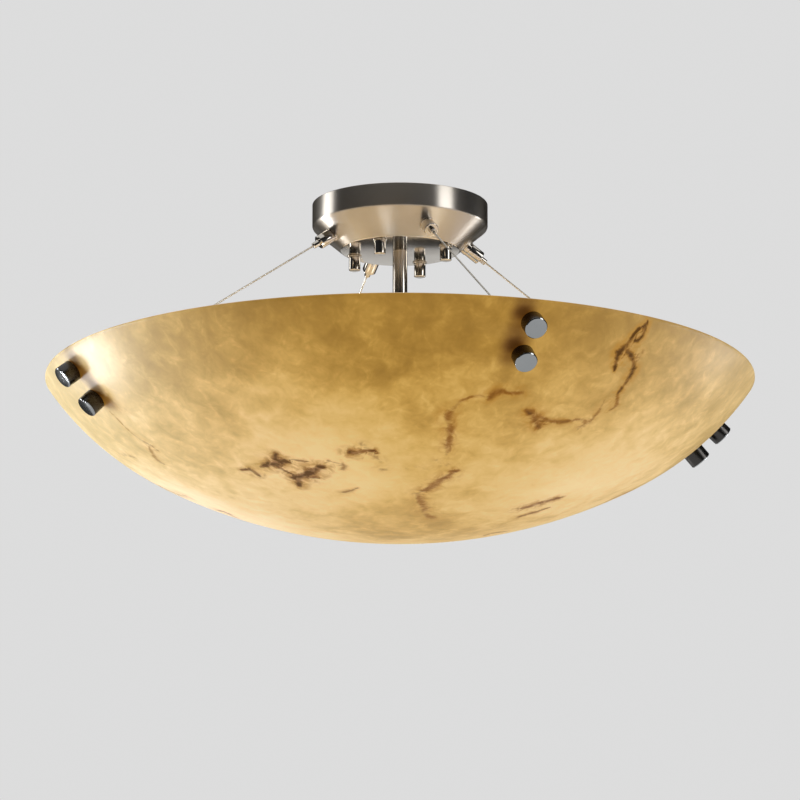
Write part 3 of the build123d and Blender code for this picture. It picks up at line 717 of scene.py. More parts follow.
@dataclass(frozen=True)
class StoneResin:
    """The bowl's cast stone: clouded amber with dark veins, lit from inside, with the lamps' light, the
    straps' shadows and a lamp-lit inner face painted into its colour and its glow.
    """

    name: str = "stone_resin"
    stops: Stops = (
        (0.05, written(160, 116, 34)),
        (0.32, written(190, 141, 46)),
        (0.58, written(236, 186, 80)),
        (0.9, written(254, 214, 126)),
    )
    vein: Colour = written(72, 30, 0)
    bark: Colour = written(142, 80, 0)
    stain: Colour = written(190, 128, 22)
    # painted shadows of the straps and screws inside the wall, darkening the colour and the glow
    shades: Stops = ((0.0, (1.0, 1.0, 1.0)), (STRAP_DARKNESS, (0.3, 0.18, 0.09)), (1.0, (0.02, 0.006, 0.0)))
    # painted light: the inner face is drawn paler and brighter, as if lit by the lamps, in its colour and
    # its glow
    lamp_lit_inner_face: Colour = written(255, 240, 206)
    lamp_lit_inner_share: float = 0.6
    chalk: Colour = (0.42, 0.4, 0.5)
    bleach: float = 0.46
    glow: float = 0.76
    # The clouds, and the painted lamp light mixed into them
    patches: Noise = Noise(6.5, 2.0, 0.2)
    patch_weight: float = 0.55
    cotton: Noise = Noise(25.0, 4.0, 0.25, 0.6)
    cotton_weight: float = 0.62
    fluff: Noise = Noise(62.0, 4.0, 0.5, 0.6)
    fluff_weight: float = 0.5
    curls: Noise = Noise(30.0, 3.0, 0.7)
    curl_middle: float = 0.5
    wisps: Span = Span(0.0, 0.06, 1.0, 0.0)
    wispy: Span = Span(0.46, 0.62)
    wisp_weight: float = 0.06
    grain: Noise = Noise(260.0, 3.0)
    grain_weight: float = 0.07
    light_weight: float = 0.8
    tone_drop: float = 0.68
    gloss: Span = Span(NOISE_LOW, NOISE_HIGH, 0.42, 0.52)
    cotton_relief: float = 0.7
    grain_relief: float = 0.3
    relief: float = 0.1
    relief_strength: float = 0.25
    # The veins, whose reach is told in their own half thickness
    mesh_slack: float = 1.6  # mm: how far off a vein its nearest vertices can be
    near_fall: float = 0.42
    wide_fall: float = 0.06
    raggedness: Noise = Noise(105.0, 4.0, 0.7, 0.6)
    ragged_middle: float = 0.5
    frayed: Span = Span(0.3, 0.9, 0.0, 2.2)
    uneven: Span = Span(0.35, 0.65, 0.5, 1.3)
    stained: Span = Span(0.08, 0.8, 0.0, 0.8)
    barked: Span = Span(0.18, 0.62, 0.0, 0.85)
    veined: Span = Span(0.5, 1.0)

    def material(self) -> bpy.types.Material:
        """Builds the finish's material."""
        dressing = Dressing(self.name)
        stone = self.veins(dressing, self.clouds(dressing))
        shade = dressing.ramp(dressing.attribute("shade"), self.shades)
        shaded = dressing.mix(1.0, stone, shade, Mixing.TIMES)
        # painted light: the inner face takes its lamp-lit colour here
        inner = dressing.sum(Sum.TIMES, dressing.attribute("inside"), self.lamp_lit_inner_share)
        lit = dressing.mix(inner, shaded, self.lamp_lit_inner_face)
        # painted light: the emission is a painted glow that stands in for the lamps' light through the wall,
        # and the base colour carries the same painted light, paled
        chalky = dressing.mix(1.0, dressing.gamma(lit, self.bleach), self.chalk, Mixing.TIMES)
        dressing.wire(chalky, "Base Color")
        dressing.wire(lit, "Emission Color")
        dressing.set(Emission_Strength=self.glow, IOR=1.4, Specular_IOR_Level=0.14)
        dressing.set(Coat_Weight=0.2, Coat_Roughness=0.28, Coat_IOR=1.38)
        dressing.material.cycles.emission_sampling = "NONE"
        return dressing.material

    def clouds(self, dressing: Dressing) -> bpy.types.NodeSocket:
        """The stone without its veins: broad patches, cottony clouds, a few light wisps, a fine grain, and
        painted lamp light that makes it paler near the lamps and darker under the hub.

        Args:
            dressing: The material in the making.

        Returns:
            The colour's socket.
        """
        large, cotton = dressing.noise(self.patches), dressing.noise(self.cotton)
        fluff, curl, grain = (dressing.noise(noise) for noise in (self.fluff, self.curls, self.grain))
        off_middle = dressing.sum(Sum.SIZE, dressing.sum(Sum.LESS, curl, self.curl_middle))
        wisp = dressing.span(off_middle, self.wisps)
        tone = dressing.weighted(
            (large, self.patch_weight),
            (cotton, self.cotton_weight),
            (fluff, self.fluff_weight),
            (dressing.sum(Sum.TIMES, wisp, dressing.span(fluff, self.wispy)), self.wisp_weight),
            (grain, self.grain_weight),
            # painted light: the lamps' light worked out from their places, with painted shade under the hub
            (dressing.attribute("light"), self.light_weight),
        )
        dressing.wire(dressing.span(grain, self.gloss), "Roughness")
        lumps = dressing.weighted((cotton, self.cotton_relief), (grain, self.grain_relief))
        dressing.bump(lumps, self.relief, self.relief_strength)
        return dressing.ramp(dressing.sum(Sum.LESS, tone, self.tone_drop), self.stops)

    def veins(self, dressing: Dressing, stone: bpy.types.NodeSocket) -> bpy.types.NodeSocket:
        """Draws the veins over the stone, ragged and soft-edged, with a brown stain round each.

        Args:
            dressing: The material in the making.
            stone: The clouded colour under them.

        Returns:
            The colour's socket.
        """
        times = Sum.TIMES
        way = dressing.length(dressing.attribute("vein_way", vector=True))
        least = dressing.sum(Sum.LESS, dressing.attribute("vein_far"), self.mesh_slack)
        distance = dressing.sum(Sum.MOST, way, least)
        reach = dressing.sum(Sum.OVER, distance, dressing.attribute("vein_width"))
        squared = dressing.sum(times, reach, reach)
        near = dressing.sum(Sum.EXPONENT, dressing.sum(times, squared, -self.near_fall))
        wide = dressing.sum(Sum.EXPONENT, dressing.sum(times, squared, -self.wide_fall))
        ragged = dressing.noise(self.raggedness)
        off_middle = dressing.sum(Sum.LESS, ragged, self.ragged_middle)
        frayed = dressing.sum(times, off_middle, dressing.span(wide, self.frayed))
        dark = dressing.attribute("vein_dark")
        body = dressing.sum(times, dressing.sum(Sum.PLUS, near, frayed), dark)
        fringe = dressing.sum(times, dressing.sum(times, wide, dark), dressing.span(ragged, self.uneven))
        colour = dressing.mix(dressing.span(fringe, self.stained), stone, self.stain)
        colour = dressing.mix(dressing.span(body, self.barked), colour, self.bark)
        return dressing.mix(dressing.span(body, self.veined), colour, self.vein)


# Each finish's name is its slot's. The numbers are the least and the most roughness, and then the brushing
# of a metal or the clear coat of a moulding.
FINISHES = (
    Metal("brushed_nickel", written(196, 190, 181), written(188, 181, 171), 0.3, 0.34, 0.85),
    Metal("polished_nickel", written(214, 208, 198), written(204, 197, 186), 0.07, 0.12),
    Metal("satin_nickel", written(172, 175, 176), written(164, 167, 168), 0.09, 0.11, 0.3, relief=0.0),
    Metal("steel_cable", written(232, 229, 222), written(220, 216, 206), 0.36, 0.44),
    Metal("zinc_steel", written(186, 190, 192), written(164, 168, 172), 0.3, 0.45),
    Metal("brass", written(206, 170, 96), written(184, 146, 76), 0.2, 0.32),
    Metal("green_screw", written(58, 128, 72), written(44, 104, 58), 0.28, 0.4),
    Moulded("white_enamel", written(236, 234, 228), written(228, 225, 216), 0.25, 0.35, 0.5),
    Moulded("white_ceramic", written(240, 237, 230), written(230, 226, 216), 0.22, 0.34, 0.6),
    Moulded("rubber", written(52, 50, 48), written(64, 61, 58), 0.6, 0.75),
    Moulded("lead_insulation", written(48, 48, 50), written(62, 61, 60), 0.4, 0.55),
    Moulded("connector_plastic", written(224, 128, 40), written(208, 112, 32), 0.4, 0.5),
    LampGlass(),
    StoneResin(),
)


class Workshop:
    """Makes the finishes once, and hands each finished piece to its body."""

    def __init__(self) -> None:
        """Builds every finish's material."""
        self.materials = {Slot(finish.name): finish.material() for finish in FINISHES}

    def _paint(self, piece: bpy.types.Object, slot: Slot) -> None:
        """Gives an object one finish in place of what it has."""
        piece.data.materials.clear()
        piece.data.materials.append(self.materials[slot])

    def dress(self, piece: bpy.types.Object, slot: Slot) -> None:
        """Gives a piece the finish of its slot."""
        self._paint(piece, slot)

    def fit(self, piece: bpy.types.Object, slot: Slot, body: str, *nodes: str) -> bpy.types.Object:
        """Dresses a piece, lets it ride on a body and stand for CAD nodes.

        Args:
            piece: The piece, in place.
            slot: Its finish.
            body: The CAD body that it moves with.
            nodes: The CAD nodes that it stands for.

        Returns:
            The piece.
        """
        self.dress(piece, slot)
        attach(piece, body)
        if nodes:
            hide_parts(*nodes)
        log.info("%s rides on %s, in %s", piece.name, body, slot.value)
        return piece

    def turned(
        self,
        name: str,
        spindle: Spindle,
        outline: Outline,
        slot: Slot,
        body: str,
        *nodes: str,
        segments: int = 64,
        reach: Reach | None = None,
        sharp: float = CRISP_ANGLE,
    ) -> bpy.types.Object:
        """Turns one piece, and fits it.

        Args:
            name: The piece's name.
            spindle: The axis that it is turned about.
            outline: Its closed outline, as points (along, out).
            slot: Its finish.
            body: The CAD body that it moves with.
            nodes: The CAD nodes that it stands for.
            segments: How many points go round.
            reach: Gives each point's distance from the axis, from its along, out and turn.
            sharp: Edges that turn by more than this many degrees stay crisp.

        Returns:
            The piece.
        """
        blank = Blank()
        blank.turn(spindle, outline, segments, reach)
        return self.fit(blank.piece(name, sharp), slot, body, *nodes)

    def stretch(
        self, piece: bpy.types.Object, slot: Slot, body: str, node: str
    ) -> None:
        """Dresses a piece that runs from the frame to another body, bakes its placement into its mesh and
        hides its CAD node.

        Args:
            piece: The piece, in place.
            slot: Its finish.
            body: The body at its far end.
            node: The CAD node that it stands for.
        """
        self.dress(piece, slot)
        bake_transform(piece)
        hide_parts(node)
        log.info("%s bends between %s and %s", piece.name, FRAME_BODY, body)

    def keep(self, slot: Slot, *nodes: str) -> None:
        """Gives CAD nodes that stay as they are their finish."""
        for node in nodes:
            self._paint(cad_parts[node], slot)
            log.info("%s keeps its CAD shape, in %s", node, slot.value)


# ---------------------------------------------------------------------------------------------------------
# Canopy, ceiling plate and stem
# ---------------------------------------------------------------------------------------------------------


@dataclass
class Canopy:
    """The spun pan on the ceiling: an upright band, a cone and a flat base."""

    radius: float = 76.0
    band: float = 20.0
    cone_drop: float = 21.0
    cone_width: float = 25.0
    wall: float = 1.5
    band_round: float = 2.5
    base_round: float = 1.6
    polish_reach: float = 0.4  # faces whose middles are this near the base's plane are polished
    lip: float = 0.5
    bore: float = 5.25
    segments: int = 224
    nut_circle: float = 43.0
    nut_radius: float = 5.0
    nut_length: float = 12.0
    nut_edge: float = 0.8
    washer_radius: float = 6.2
    washer_bore: float = 2.25
    washer_thickness: float = 1.0
    drill: float = 4.25
    drill_reach: float = 12.0
    drill_segments: int = 48

    @property
    def base_radius(self) -> float:
        """The flat base's radius."""
        return self.radius - self.cone_width

    @property
    def depth(self) -> float:
        """From the ceiling to the base."""
        return self.band + self.cone_drop

    def make(self, shop: Workshop, line: "CableLine") -> None:
        """Makes the pan, its washers and its cap nuts.

        Args:
            shop: The finishes.
            line: Where the cables, and so the grippers, run.
        """
        self.make_pan(shop, line)
        self.make_nuts(shop)

    def make_pan(self, shop: Workshop, line: "CableLine") -> None:
        """Turns the pan in one closed outline, outside and inside, and drills it for the grippers.

        Args:
            shop: The finishes.
            line: Where the cables, and so the grippers, run.
        """
        lean = atan2(self.cone_width, self.cone_drop)
        band_shift = self.wall * tan(lean / 2)
        base_shift = self.wall * tan((pi / 2 - lean) / 2)
        floor = self.wall - self.depth
        outline = softened(
            Bend(0, self.radius, self.lip),
            Bend(-self.band, self.radius, self.band_round),
            Bend(-self.depth, self.base_radius, self.base_round),
            Bend(-self.depth, self.bore),
            Bend(floor, self.bore),
            Bend(floor, self.base_radius - base_shift, self.wall / 2),
            Bend(band_shift - self.band, self.radius - self.wall, self.wall),
            Bend(0, self.radius - self.wall, self.lip),
            steps=6,
        )
        blank, drills = Blank(), Blank()
        blank.turn(Spindle.upright(), outline, self.segments)
        hole = Collar(-self.drill_reach, self.drill_reach, 0, self.drill)
        for side in Side:
            drills.turn(line.spindle(side), hole.outline(), self.drill_segments)
        pan = blank.piece("canopy_pan")
        drilled(pan, drills.piece("gripper_drills"))
        shop.fit(pan, Slot.BRUSHED_NICKEL, FRAME_BODY, "canopy")
        pan.data.materials.append(shop.materials[Slot.POLISHED_NICKEL])
        for face in pan.data.polygons:
            if face.center.z < (self.polish_reach - self.depth) * MILLIMETRE:
                face.material_index = 1

    def make_nuts(self, shop: Workshop) -> None:
        """Turns the four washers and the four round cap nuts under the base."""
        under = -self.depth - self.washer_thickness
        top, edge = under - SEAT, self.washer_thickness / 3
        washer = Collar(-self.depth, under, self.washer_bore, self.washer_radius, edge, edge)
        nut = Collar(top, top - self.nut_length, 0, self.nut_radius, self.nut_edge / 3, self.nut_edge)
        washers, nuts = Blank(), Blank()
        for corner in Corner:
            spindle = Spindle.upright(*corner.point(self.nut_circle))
            washers.turn(spindle, washer.outline())
            nuts.turn(spindle, nut.outline())
        shop.fit(washers.piece("canopy_washers"), Slot.POLISHED_NICKEL, FRAME_BODY, "canopy_nut_washers")
        shop.fit(nuts.piece("canopy_nuts"), Slot.POLISHED_NICKEL, FRAME_BODY, "canopy_cap_nuts")


@dataclass
class Stem:
    """The tube from the canopy into the lamp cluster, with its threaded ends."""

    radius: float = 6.35
    top: float = -41.05
    bottom: float = -171.95
    edge: float = 0.4
    nipple_radius: float = 5.0
    nipple_bore: float = 4.0
    nipple_top: float = -27.0
    nipple_bottom: float = -215.05
    segments: int = 96
    turned: Metal = Metal("turned_nickel", written(210, 204, 194), written(200, 193, 182), 0.16, 0.22, 0.85)

    def make(self, shop: Workshop) -> None:
        """Turns the tube and its ends in one outline, with a satin finish on the polished slot."""
        outline = softened(
            Bend(self.nipple_top, self.nipple_bore),
            Bend(self.nipple_top, self.nipple_radius, self.edge),
            Bend(self.top, self.nipple_radius),
            Bend(self.top, self.radius, self.edge),
            Bend(self.bottom, self.radius, self.edge),
            Bend(self.bottom, self.nipple_radius),
            Bend(self.nipple_bottom, self.nipple_radius, self.edge),
            Bend(self.nipple_bottom, self.nipple_bore),
        )
        axis, slot = Spindle.upright(), Slot.POLISHED_NICKEL
        tube = shop.turned("stem_tube", axis, outline, slot, FRAME_BODY, "stem", segments=self.segments)
        tube.data.materials[0] = self.turned.material()


# ---------------------------------------------------------------------------------------------------------
# Bowl, straps and finials
# ---------------------------------------------------------------------------------------------------------


@dataclass(frozen=True)
class Vein:
    """One dark vein on the bowl's outer face.

    Each point of the route is an angle in degrees from -Y towards +X, a distance from the light's own axis
    and half the vein's thickness there.
    """

    darkness: float
    route: tuple[tuple[float, float, float], ...]


VEINS = (
    Vein(0.9, ((-73.1, 169, 1.2), (-70.3, 168, 1.8), (-69.8, 163, 2.8), (-70, 156, 1.4))),
    Vein(1, ((-65.4, 167, 1.6), (-62.1, 168, 3.1), (-59, 169, 4.2), (-56.2, 170, 2.6), (-54.8, 166, 1.4))),
    Vein(0.9, ((-56.3, 180, 1.8), (-59, 169, 3))),
    Vein(0.8, ((-59.8, 166, 2.4), (-59.7, 159, 1.6), (-59.2, 155, 0.9), (-58, 149, 1))),
    Vein(0.65, ((-53.8, 170, 0.9), (-51.4, 167, 1.4), (-49.1, 164, 1))),
    Vein(1, ((-59.6, 145, 2), (-56.8, 145, 2.9), (-53.5, 147, 4.1), (-49.7, 152, 4), (-46, 155, 2.5))),
    Vein(0.95, ((-58.1, 142, 2.7), (-60.9, 132, 2.1))),
    Vein(0.75, ((-54, 142, 2.2), (-50.6, 139, 1.1))),
    Vein(0.42, ((-43.2, 163, 1.1), (-41.2, 159, 1), (-38.5, 155, 1.9), (-40.1, 148, 1.5))),
    Vein(0.85, ((-35, 172, 2.7), (-33.5, 170, 2.4), (-31.7, 173, 2), (-29.1, 173, 2.1), (-27.6, 171, 1))),
    Vein(0.36, ((-31.2, 181, 2.7), (-27.1, 158, 2.3))),
    Vein(0.32, ((-28.4, 146, 2.3), (-26.1, 145, 1.7))),
    Vein(0.5, ((-46.3, 111, 1.7), (-43.9, 112, 1.4), (-38.9, 117, 0.7))),
    Vein(0.5, ((-129.7, 165, 2.7), (-126.5, 156, 2.7), (-136.4, 157, 1.3))),
    Vein(0.5, ((-4, 237, 1.7), (-5.5, 238, 1.6), (-7.3, 237, 1.6), (-8.9, 232, 1.7), (-9.8, 227, 2.1),
               (-10.9, 218, 4), (-10.4, 209, 3.5), (-9.4, 201, 3.4), (-8.9, 190, 2.1), (-8.4, 178, 3.3),
               (-7.9, 168, 1.9))),
    Vein(0.34, ((-10.4, 160, 2), (-8.3, 152, 2.8), (-6.6, 154, 1.9))),
    Vein(0.55, ((-3.4, 236, 2.1), (-2.3, 243, 2.9), (-1.2, 244, 3.2), (0.5, 243, 1.6), (2.8, 244, 2.4))),
    Vein(0.68, ((5.7, 229, 1.5), (7.8, 225, 3.5), (9.2, 220, 3.5), (11.5, 212, 2.3))),
    Vein(0.58, ((10.2, 223, 1.5), (12.6, 221, 1.9), (15.4, 221, 2.1), (17.3, 224, 2), (19.1, 227, 1.3))),
    Vein(0.24, ((-19.8, 146, 2), (-17.3, 150, 1.9), (-15.1, 149, 2), (-12.6, 145, 2))),
    Vein(0.59, ((-2, 147, 1.8), (-3.3, 145, 3.1), (-4.7, 137, 3.3), (-6.9, 127, 3), (-8.5, 117, 3.7),
               (-11.5, 108, 2.3), (-13.9, 104, 2.3))),
    Vein(0.46, ((-13.8, 103, 1.6), (-10.4, 92, 4.4), (-6.9, 77, 3.6), (0.8, 59, 3.2), (9.1, 54, 3.3))),
    Vein(0.64, ((48.8, 111, 3.5), (50.2, 117, 3.5), (50.1, 127, 3.3), (51.2, 137, 3), (52.8, 143, 1.3))),
    Vein(0.57, ((62, 101, 2.7), (61.5, 108, 2.7), (60.9, 118, 2.4), (60.6, 129, 1.1))),
    Vein(0.6, ((105.8, 91, 1.5), (96.4, 92, 1.8), (99.1, 108, 1.1))),
    Vein(1, ((20.7, 304, 0.9), (20.9, 302, 1.5), (20, 300, 1.1), (19.3, 297, 1.2), (19.3, 293, 1.7),
               (18.9, 290, 2.2), (18.9, 287, 2.7), (17.9, 284, 2.1))),
    Vein(0.85, ((18, 284, 1.7), (18.4, 279, 1.7), (19, 274, 1.6), (19.3, 271, 0.6))),
    Vein(0.85, ((20.9, 302, 1.1), (21.1, 298, 1.4), (21.1, 295, 1.5), (20.6, 292, 1.4), (19.7, 293, 0.9))),
    Vein(0.9, ((19.5, 286, 1.9), (21.1, 283, 2.1), (22.4, 279, 2.2), (23.3, 274, 2), (23.5, 267, 2.1),
               (23.4, 261, 1.6), (23.4, 256, 1.1))),
    Vein(0.6, ((23.7, 254, 1.3), (25.5, 248, 2), (25.4, 244, 1.4), (24.8, 241, 0.7))),
    Vein(0.36, ((23, 288, 1.9), (22.8, 285, 1.9), (23.2, 281, 1))),
    Vein(0.46, ((21.6, 248, 2), (22.4, 240, 1.4), (22.5, 233, 1.6), (22.7, 227, 1.9), (19.5, 228, 1.6),
               (18.6, 227, 1.2))),
    Vein(0.4, ((22.7, 226, 2.1), (21.6, 219, 2.6))),
    Vein(0.5, ((-90.2, 262, 1.3), (-90.5, 252, 1.2), (-91.3, 242, 1.3), (-91.2, 233, 1.7), (-90.4, 227, 2.2),
               (-90.6, 219, 1.4))),
    Vein(0.5, ((-92.6, 223, 1.8), (-95, 218, 2.1), (-97.2, 211, 2.5), (-97, 207, 1.1))),
    Vein(0.36, ((-110.6, 241, 2.7), (-107, 234, 2.9), (-104.5, 228, 1.7))),
    Vein(0.45, ((-125.5, 232, 2), (-127.5, 205, 2), (-126.2, 192, 1.5))),
    Vein(0.95, ((150, 288, 1.2), (146, 270, 4.0), (149, 251, 2.4), (143, 236, 5.2), (136, 229, 2.8),
                (131, 214, 1.8))),
    Vein(0.49, ((131, 214, 2.0), (124, 204, 3.4), (119, 188, 2.0), (122, 171, 3.2))),
    Vein(1.0, ((-168, 206, 1.4), (-160, 198, 5.4), (-154, 203, 2.4), (-149, 190, 6.2), (-151, 176, 2.0))),
    Vein(0.6, ((176, 292, 1.3), (181, 279, 2.5), (185, 262, 1.6), (181, 247, 2.3))),
    Vein(0.55, ((88, 214, 1.6), (84, 201, 3.4), (87, 188, 1.8))),
    Vein(0.5, ((-132, 240, 2.4), (-126, 224, 3.6), (-129, 205, 2.0), (-123, 190, 3.0))),
)


@dataclass
class Bowl:
    """The stone bowl: a side arc that runs into a flatter crown arc, with a rounded rim."""

    radius: float = 307.0
    depth: float = 135.0
    wall: float = 6.0
    side_radius: float = 250.0
    rim_angle: float = 56.0
    rim_round: float = 2.2
    rim_rows: int = 3
    rim_z: float = -155.0
    segments: int = 640
    outer_rows: int = 112
    inner_rows: int = 56
    lamp_circle: float = 128.6
    lamp_z: float = -189.0
    lamp_spread: float = 70.0
    lamp_power: float = 0.8
    hub_shade: float = 0.15
    hub_reach: float = 90.0
    strap_arcs: tuple[float, float] = (10.0, 62.0)
    screw_arcs: tuple[float, float] = (21.0, 51.5)
    shade_drift: tuple[float, float, float] = (-9.0, -11.0, 0.0)
    shade_reach: float = 13.0
    shade_edge: int = 4
    rim_turn: float = field(init=False)
    side_x: float = field(init=False)
    side_z: float = field(init=False)
    crown_radius: float = field(init=False)
    crown_turn: float = field(init=False)
    crown_z: float = field(init=False)

    def __post_init__(self) -> None:
        """Works out the two arcs' centres from the bowl's radius and depth."""
        self.rim_turn = radians(self.rim_angle)
        self.side_x = self.radius - self.side_radius * sin(self.rim_turn)
        self.side_z = self.rim_z + self.side_radius * cos(self.rim_turn)
        rise = self.side_z - self.rim_z + self.depth
        chord = self.side_x**2 + rise**2 - self.side_radius**2
        self.crown_radius = chord / (2 * (rise - self.side_radius))
        self.crown_turn = asin(self.side_x / (self.crown_radius - self.side_radius))
        self.crown_z = self.rim_z - self.depth + self.crown_radius

    def wall_point(self, arc: float, inward: float = 0.0) -> tuple[float, float, float]:
        """Radius, height and normal angle on the side, an arc's length below the rim."""
        turn = self.rim_turn - arc / self.side_radius
        reach = self.side_radius - inward
        return self.side_x + reach * sin(turn), self.side_z - reach * cos(turn), turn

    def wall_spindle(self, arc: float, side: Side) -> Spindle:
        """An axis square to the wall, 0 at its outside and growing outwards."""
        out, up, turn = self.wall_point(arc)
        return Spindle.leaning(out, up, sin(turn), -cos(turn), side.value)

    def profile(self, inward: float, rows: int) -> Outline:
        """The wall's outline from the bottom to the rim.

        Args:
            inward: How far inside the outer face it runs.
            rows: How many runs it is divided into.

        Returns:
            The outline's points as (height, radius).
        """
        side_reach, crown_reach = self.side_radius - inward, self.crown_radius - inward
        last = pi / 2 - asin((self.side_z - self.rim_z) / side_reach)
        crown_length, side_length = crown_reach * self.crown_turn, side_reach * (last - self.crown_turn)
        points = []
        for place in np.linspace(0, crown_length + side_length, rows + 1):
            if place <= crown_length:
                turn = place / crown_reach
                points.append((self.crown_z - crown_reach * cos(turn), crown_reach * sin(turn)))
            else:
                turn = self.crown_turn + (place - crown_length) / side_reach
                points.append((self.side_z - side_reach * cos(turn), self.side_x + side_reach * sin(turn)))
        return points

    def surface_height(self, out: float) -> float:
        """The outer face's height at a distance from the light's own axis."""
        if out < self.crown_radius * sin(self.crown_turn):
            return self.crown_z - sqrt(self.crown_radius**2 - out**2)
        return self.side_z - sqrt(self.side_radius**2 - min(out - self.side_x, self.side_radius) ** 2)

    def make(self, shop: Workshop) -> None:
        """Turns the bowl and writes where its veins, light and shade fall."""
        outer, inner = self.profile(0, self.outer_rows), self.profile(self.wall, self.inner_rows)
        below = -self.rim_rows
        rim = softened(
            Bend(*outer[below]),
            Bend(*outer[-1], self.rim_round),
            Bend(*inner[-1], self.rim_round),
            Bend(*inner[below]),
            steps=5,
        )
        outline = outer[:below] + rim + inner[:below][::-1]
        blank = Blank()
        blank.turn(Spindle.upright(), outline, self.segments)
        piece = blank.piece("stone_bowl", ROUND_CRISP_ANGLE)
        self.shade(piece)
        shop.fit(piece, Slot.STONE_RESIN, BOWL_BODY, "bowl")

    def shade(self, piece: bpy.types.Object) -> None:
        """Marks each point with its way to the nearest vein, its light, its side of the wall and its shade.

        Args:
            piece: The bowl's object.
        """
        points = points_of(piece)
        across = np.hypot(points[:, 0], points[:, 1])
        outside = np.array([self.surface_height(out) for out in across])
        way, width, darkness = self.nearest_vein(points)
        fields = {
            "vein_width": width,
            "vein_dark": darkness,
            "vein_far": np.linalg.norm(way, axis=1),
            "light": self.lamp_light(points, across),
            "inside": points[:, 2] > outside + self.wall / 2,
            "shade": self.strap_shade(points),
            "vein_way": way,
        }
        for name, values in fields.items():
            mark(piece.data, name, values)

    def lamp_light(self, points: np.ndarray, across: np.ndarray) -> np.ndarray:
        """How much light of the four lamps reaches each point, from 0 to 1.

        Args:
            points: One row of x, y, z for each point.
            across: Each point's distance from the light's own axis.

        Returns:
            One value for each point.
        """
        light = np.zeros(len(points))
        inward = -points / np.linalg.norm(points, axis=1, keepdims=True)
        for corner in Corner:
            lamp = corner.point(self.lamp_circle, self.lamp_z) - points
            far = np.linalg.norm(lamp, axis=1)
            light += np.clip((lamp * inward).sum(axis=1) / far, 0, 1) / (1 + (far / self.lamp_spread) ** 2)
        hub = self.hub_shade * np.exp(-((across / self.hub_reach) ** 2))
        light = (light / light.max()) ** self.lamp_power - hub
        return np.clip((light - light.min()) / (light.max() - light.min()), 0, 1)

    def nearest_vein(self, points: np.ndarray) -> tuple[np.ndarray, np.ndarray, np.ndarray]:
        """Finds the vein that reaches each point most.

        Args:
            points: One row of x, y, z for each point.

        Returns:
            Each point's way from that vein's middle, the vein's half thickness there, and its darkness.
        """
        count = len(points)
        best = np.full(count, np.inf)
        way, width, darkness = np.zeros((count, 3)), np.ones(count), np.zeros(count)
        for crack in VEINS:
            corners = []
            for angle, out, thick in crack.route:
                turn = radians(angle)
                corners.append((out * sin(turn), -out * cos(turn), self.surface_height(out), thick))
            line = rounded_line(rounded_line(np.array(corners)))
            for start, end in zip(line[:-1], line[1:]):
                offset, share = off_run(points, start[:3], end[:3])
                thick = start[3] + share * (end[3] - start[3])
                reach = np.linalg.norm(offset, axis=1) / thick
                closer = reach < best
                best[closer], way[closer], width[closer] = reach[closer], offset[closer], thick[closer]
                darkness[closer] = crack.darkness
        return way, width, darkness

    def strap_shade(self, points: np.ndarray) -> np.ndarray:
        """How dark each point is made by the painted shadow of the strap inside the wall, most of all at the
        two screws.
        """
        shade = np.zeros(len(points))
        for side in Side:
            places = [self.wall_point(arc) for arc in self.strap_arcs + self.screw_arcs]
            upper, lower, *screws = [side.point(out, up) + self.shade_drift for out, up, _ in places]
            shadows = [(STRAP_DARKNESS, off_run(points, upper, lower)[0])]
            shadows += [(1.0, points - screw) for screw in screws]
            for darkness, way in shadows:
                near = np.linalg.norm(way, axis=1) / self.shade_reach
                shade = np.maximum(shade, darkness * np.exp(-(near**self.shade_edge)))
        return shade


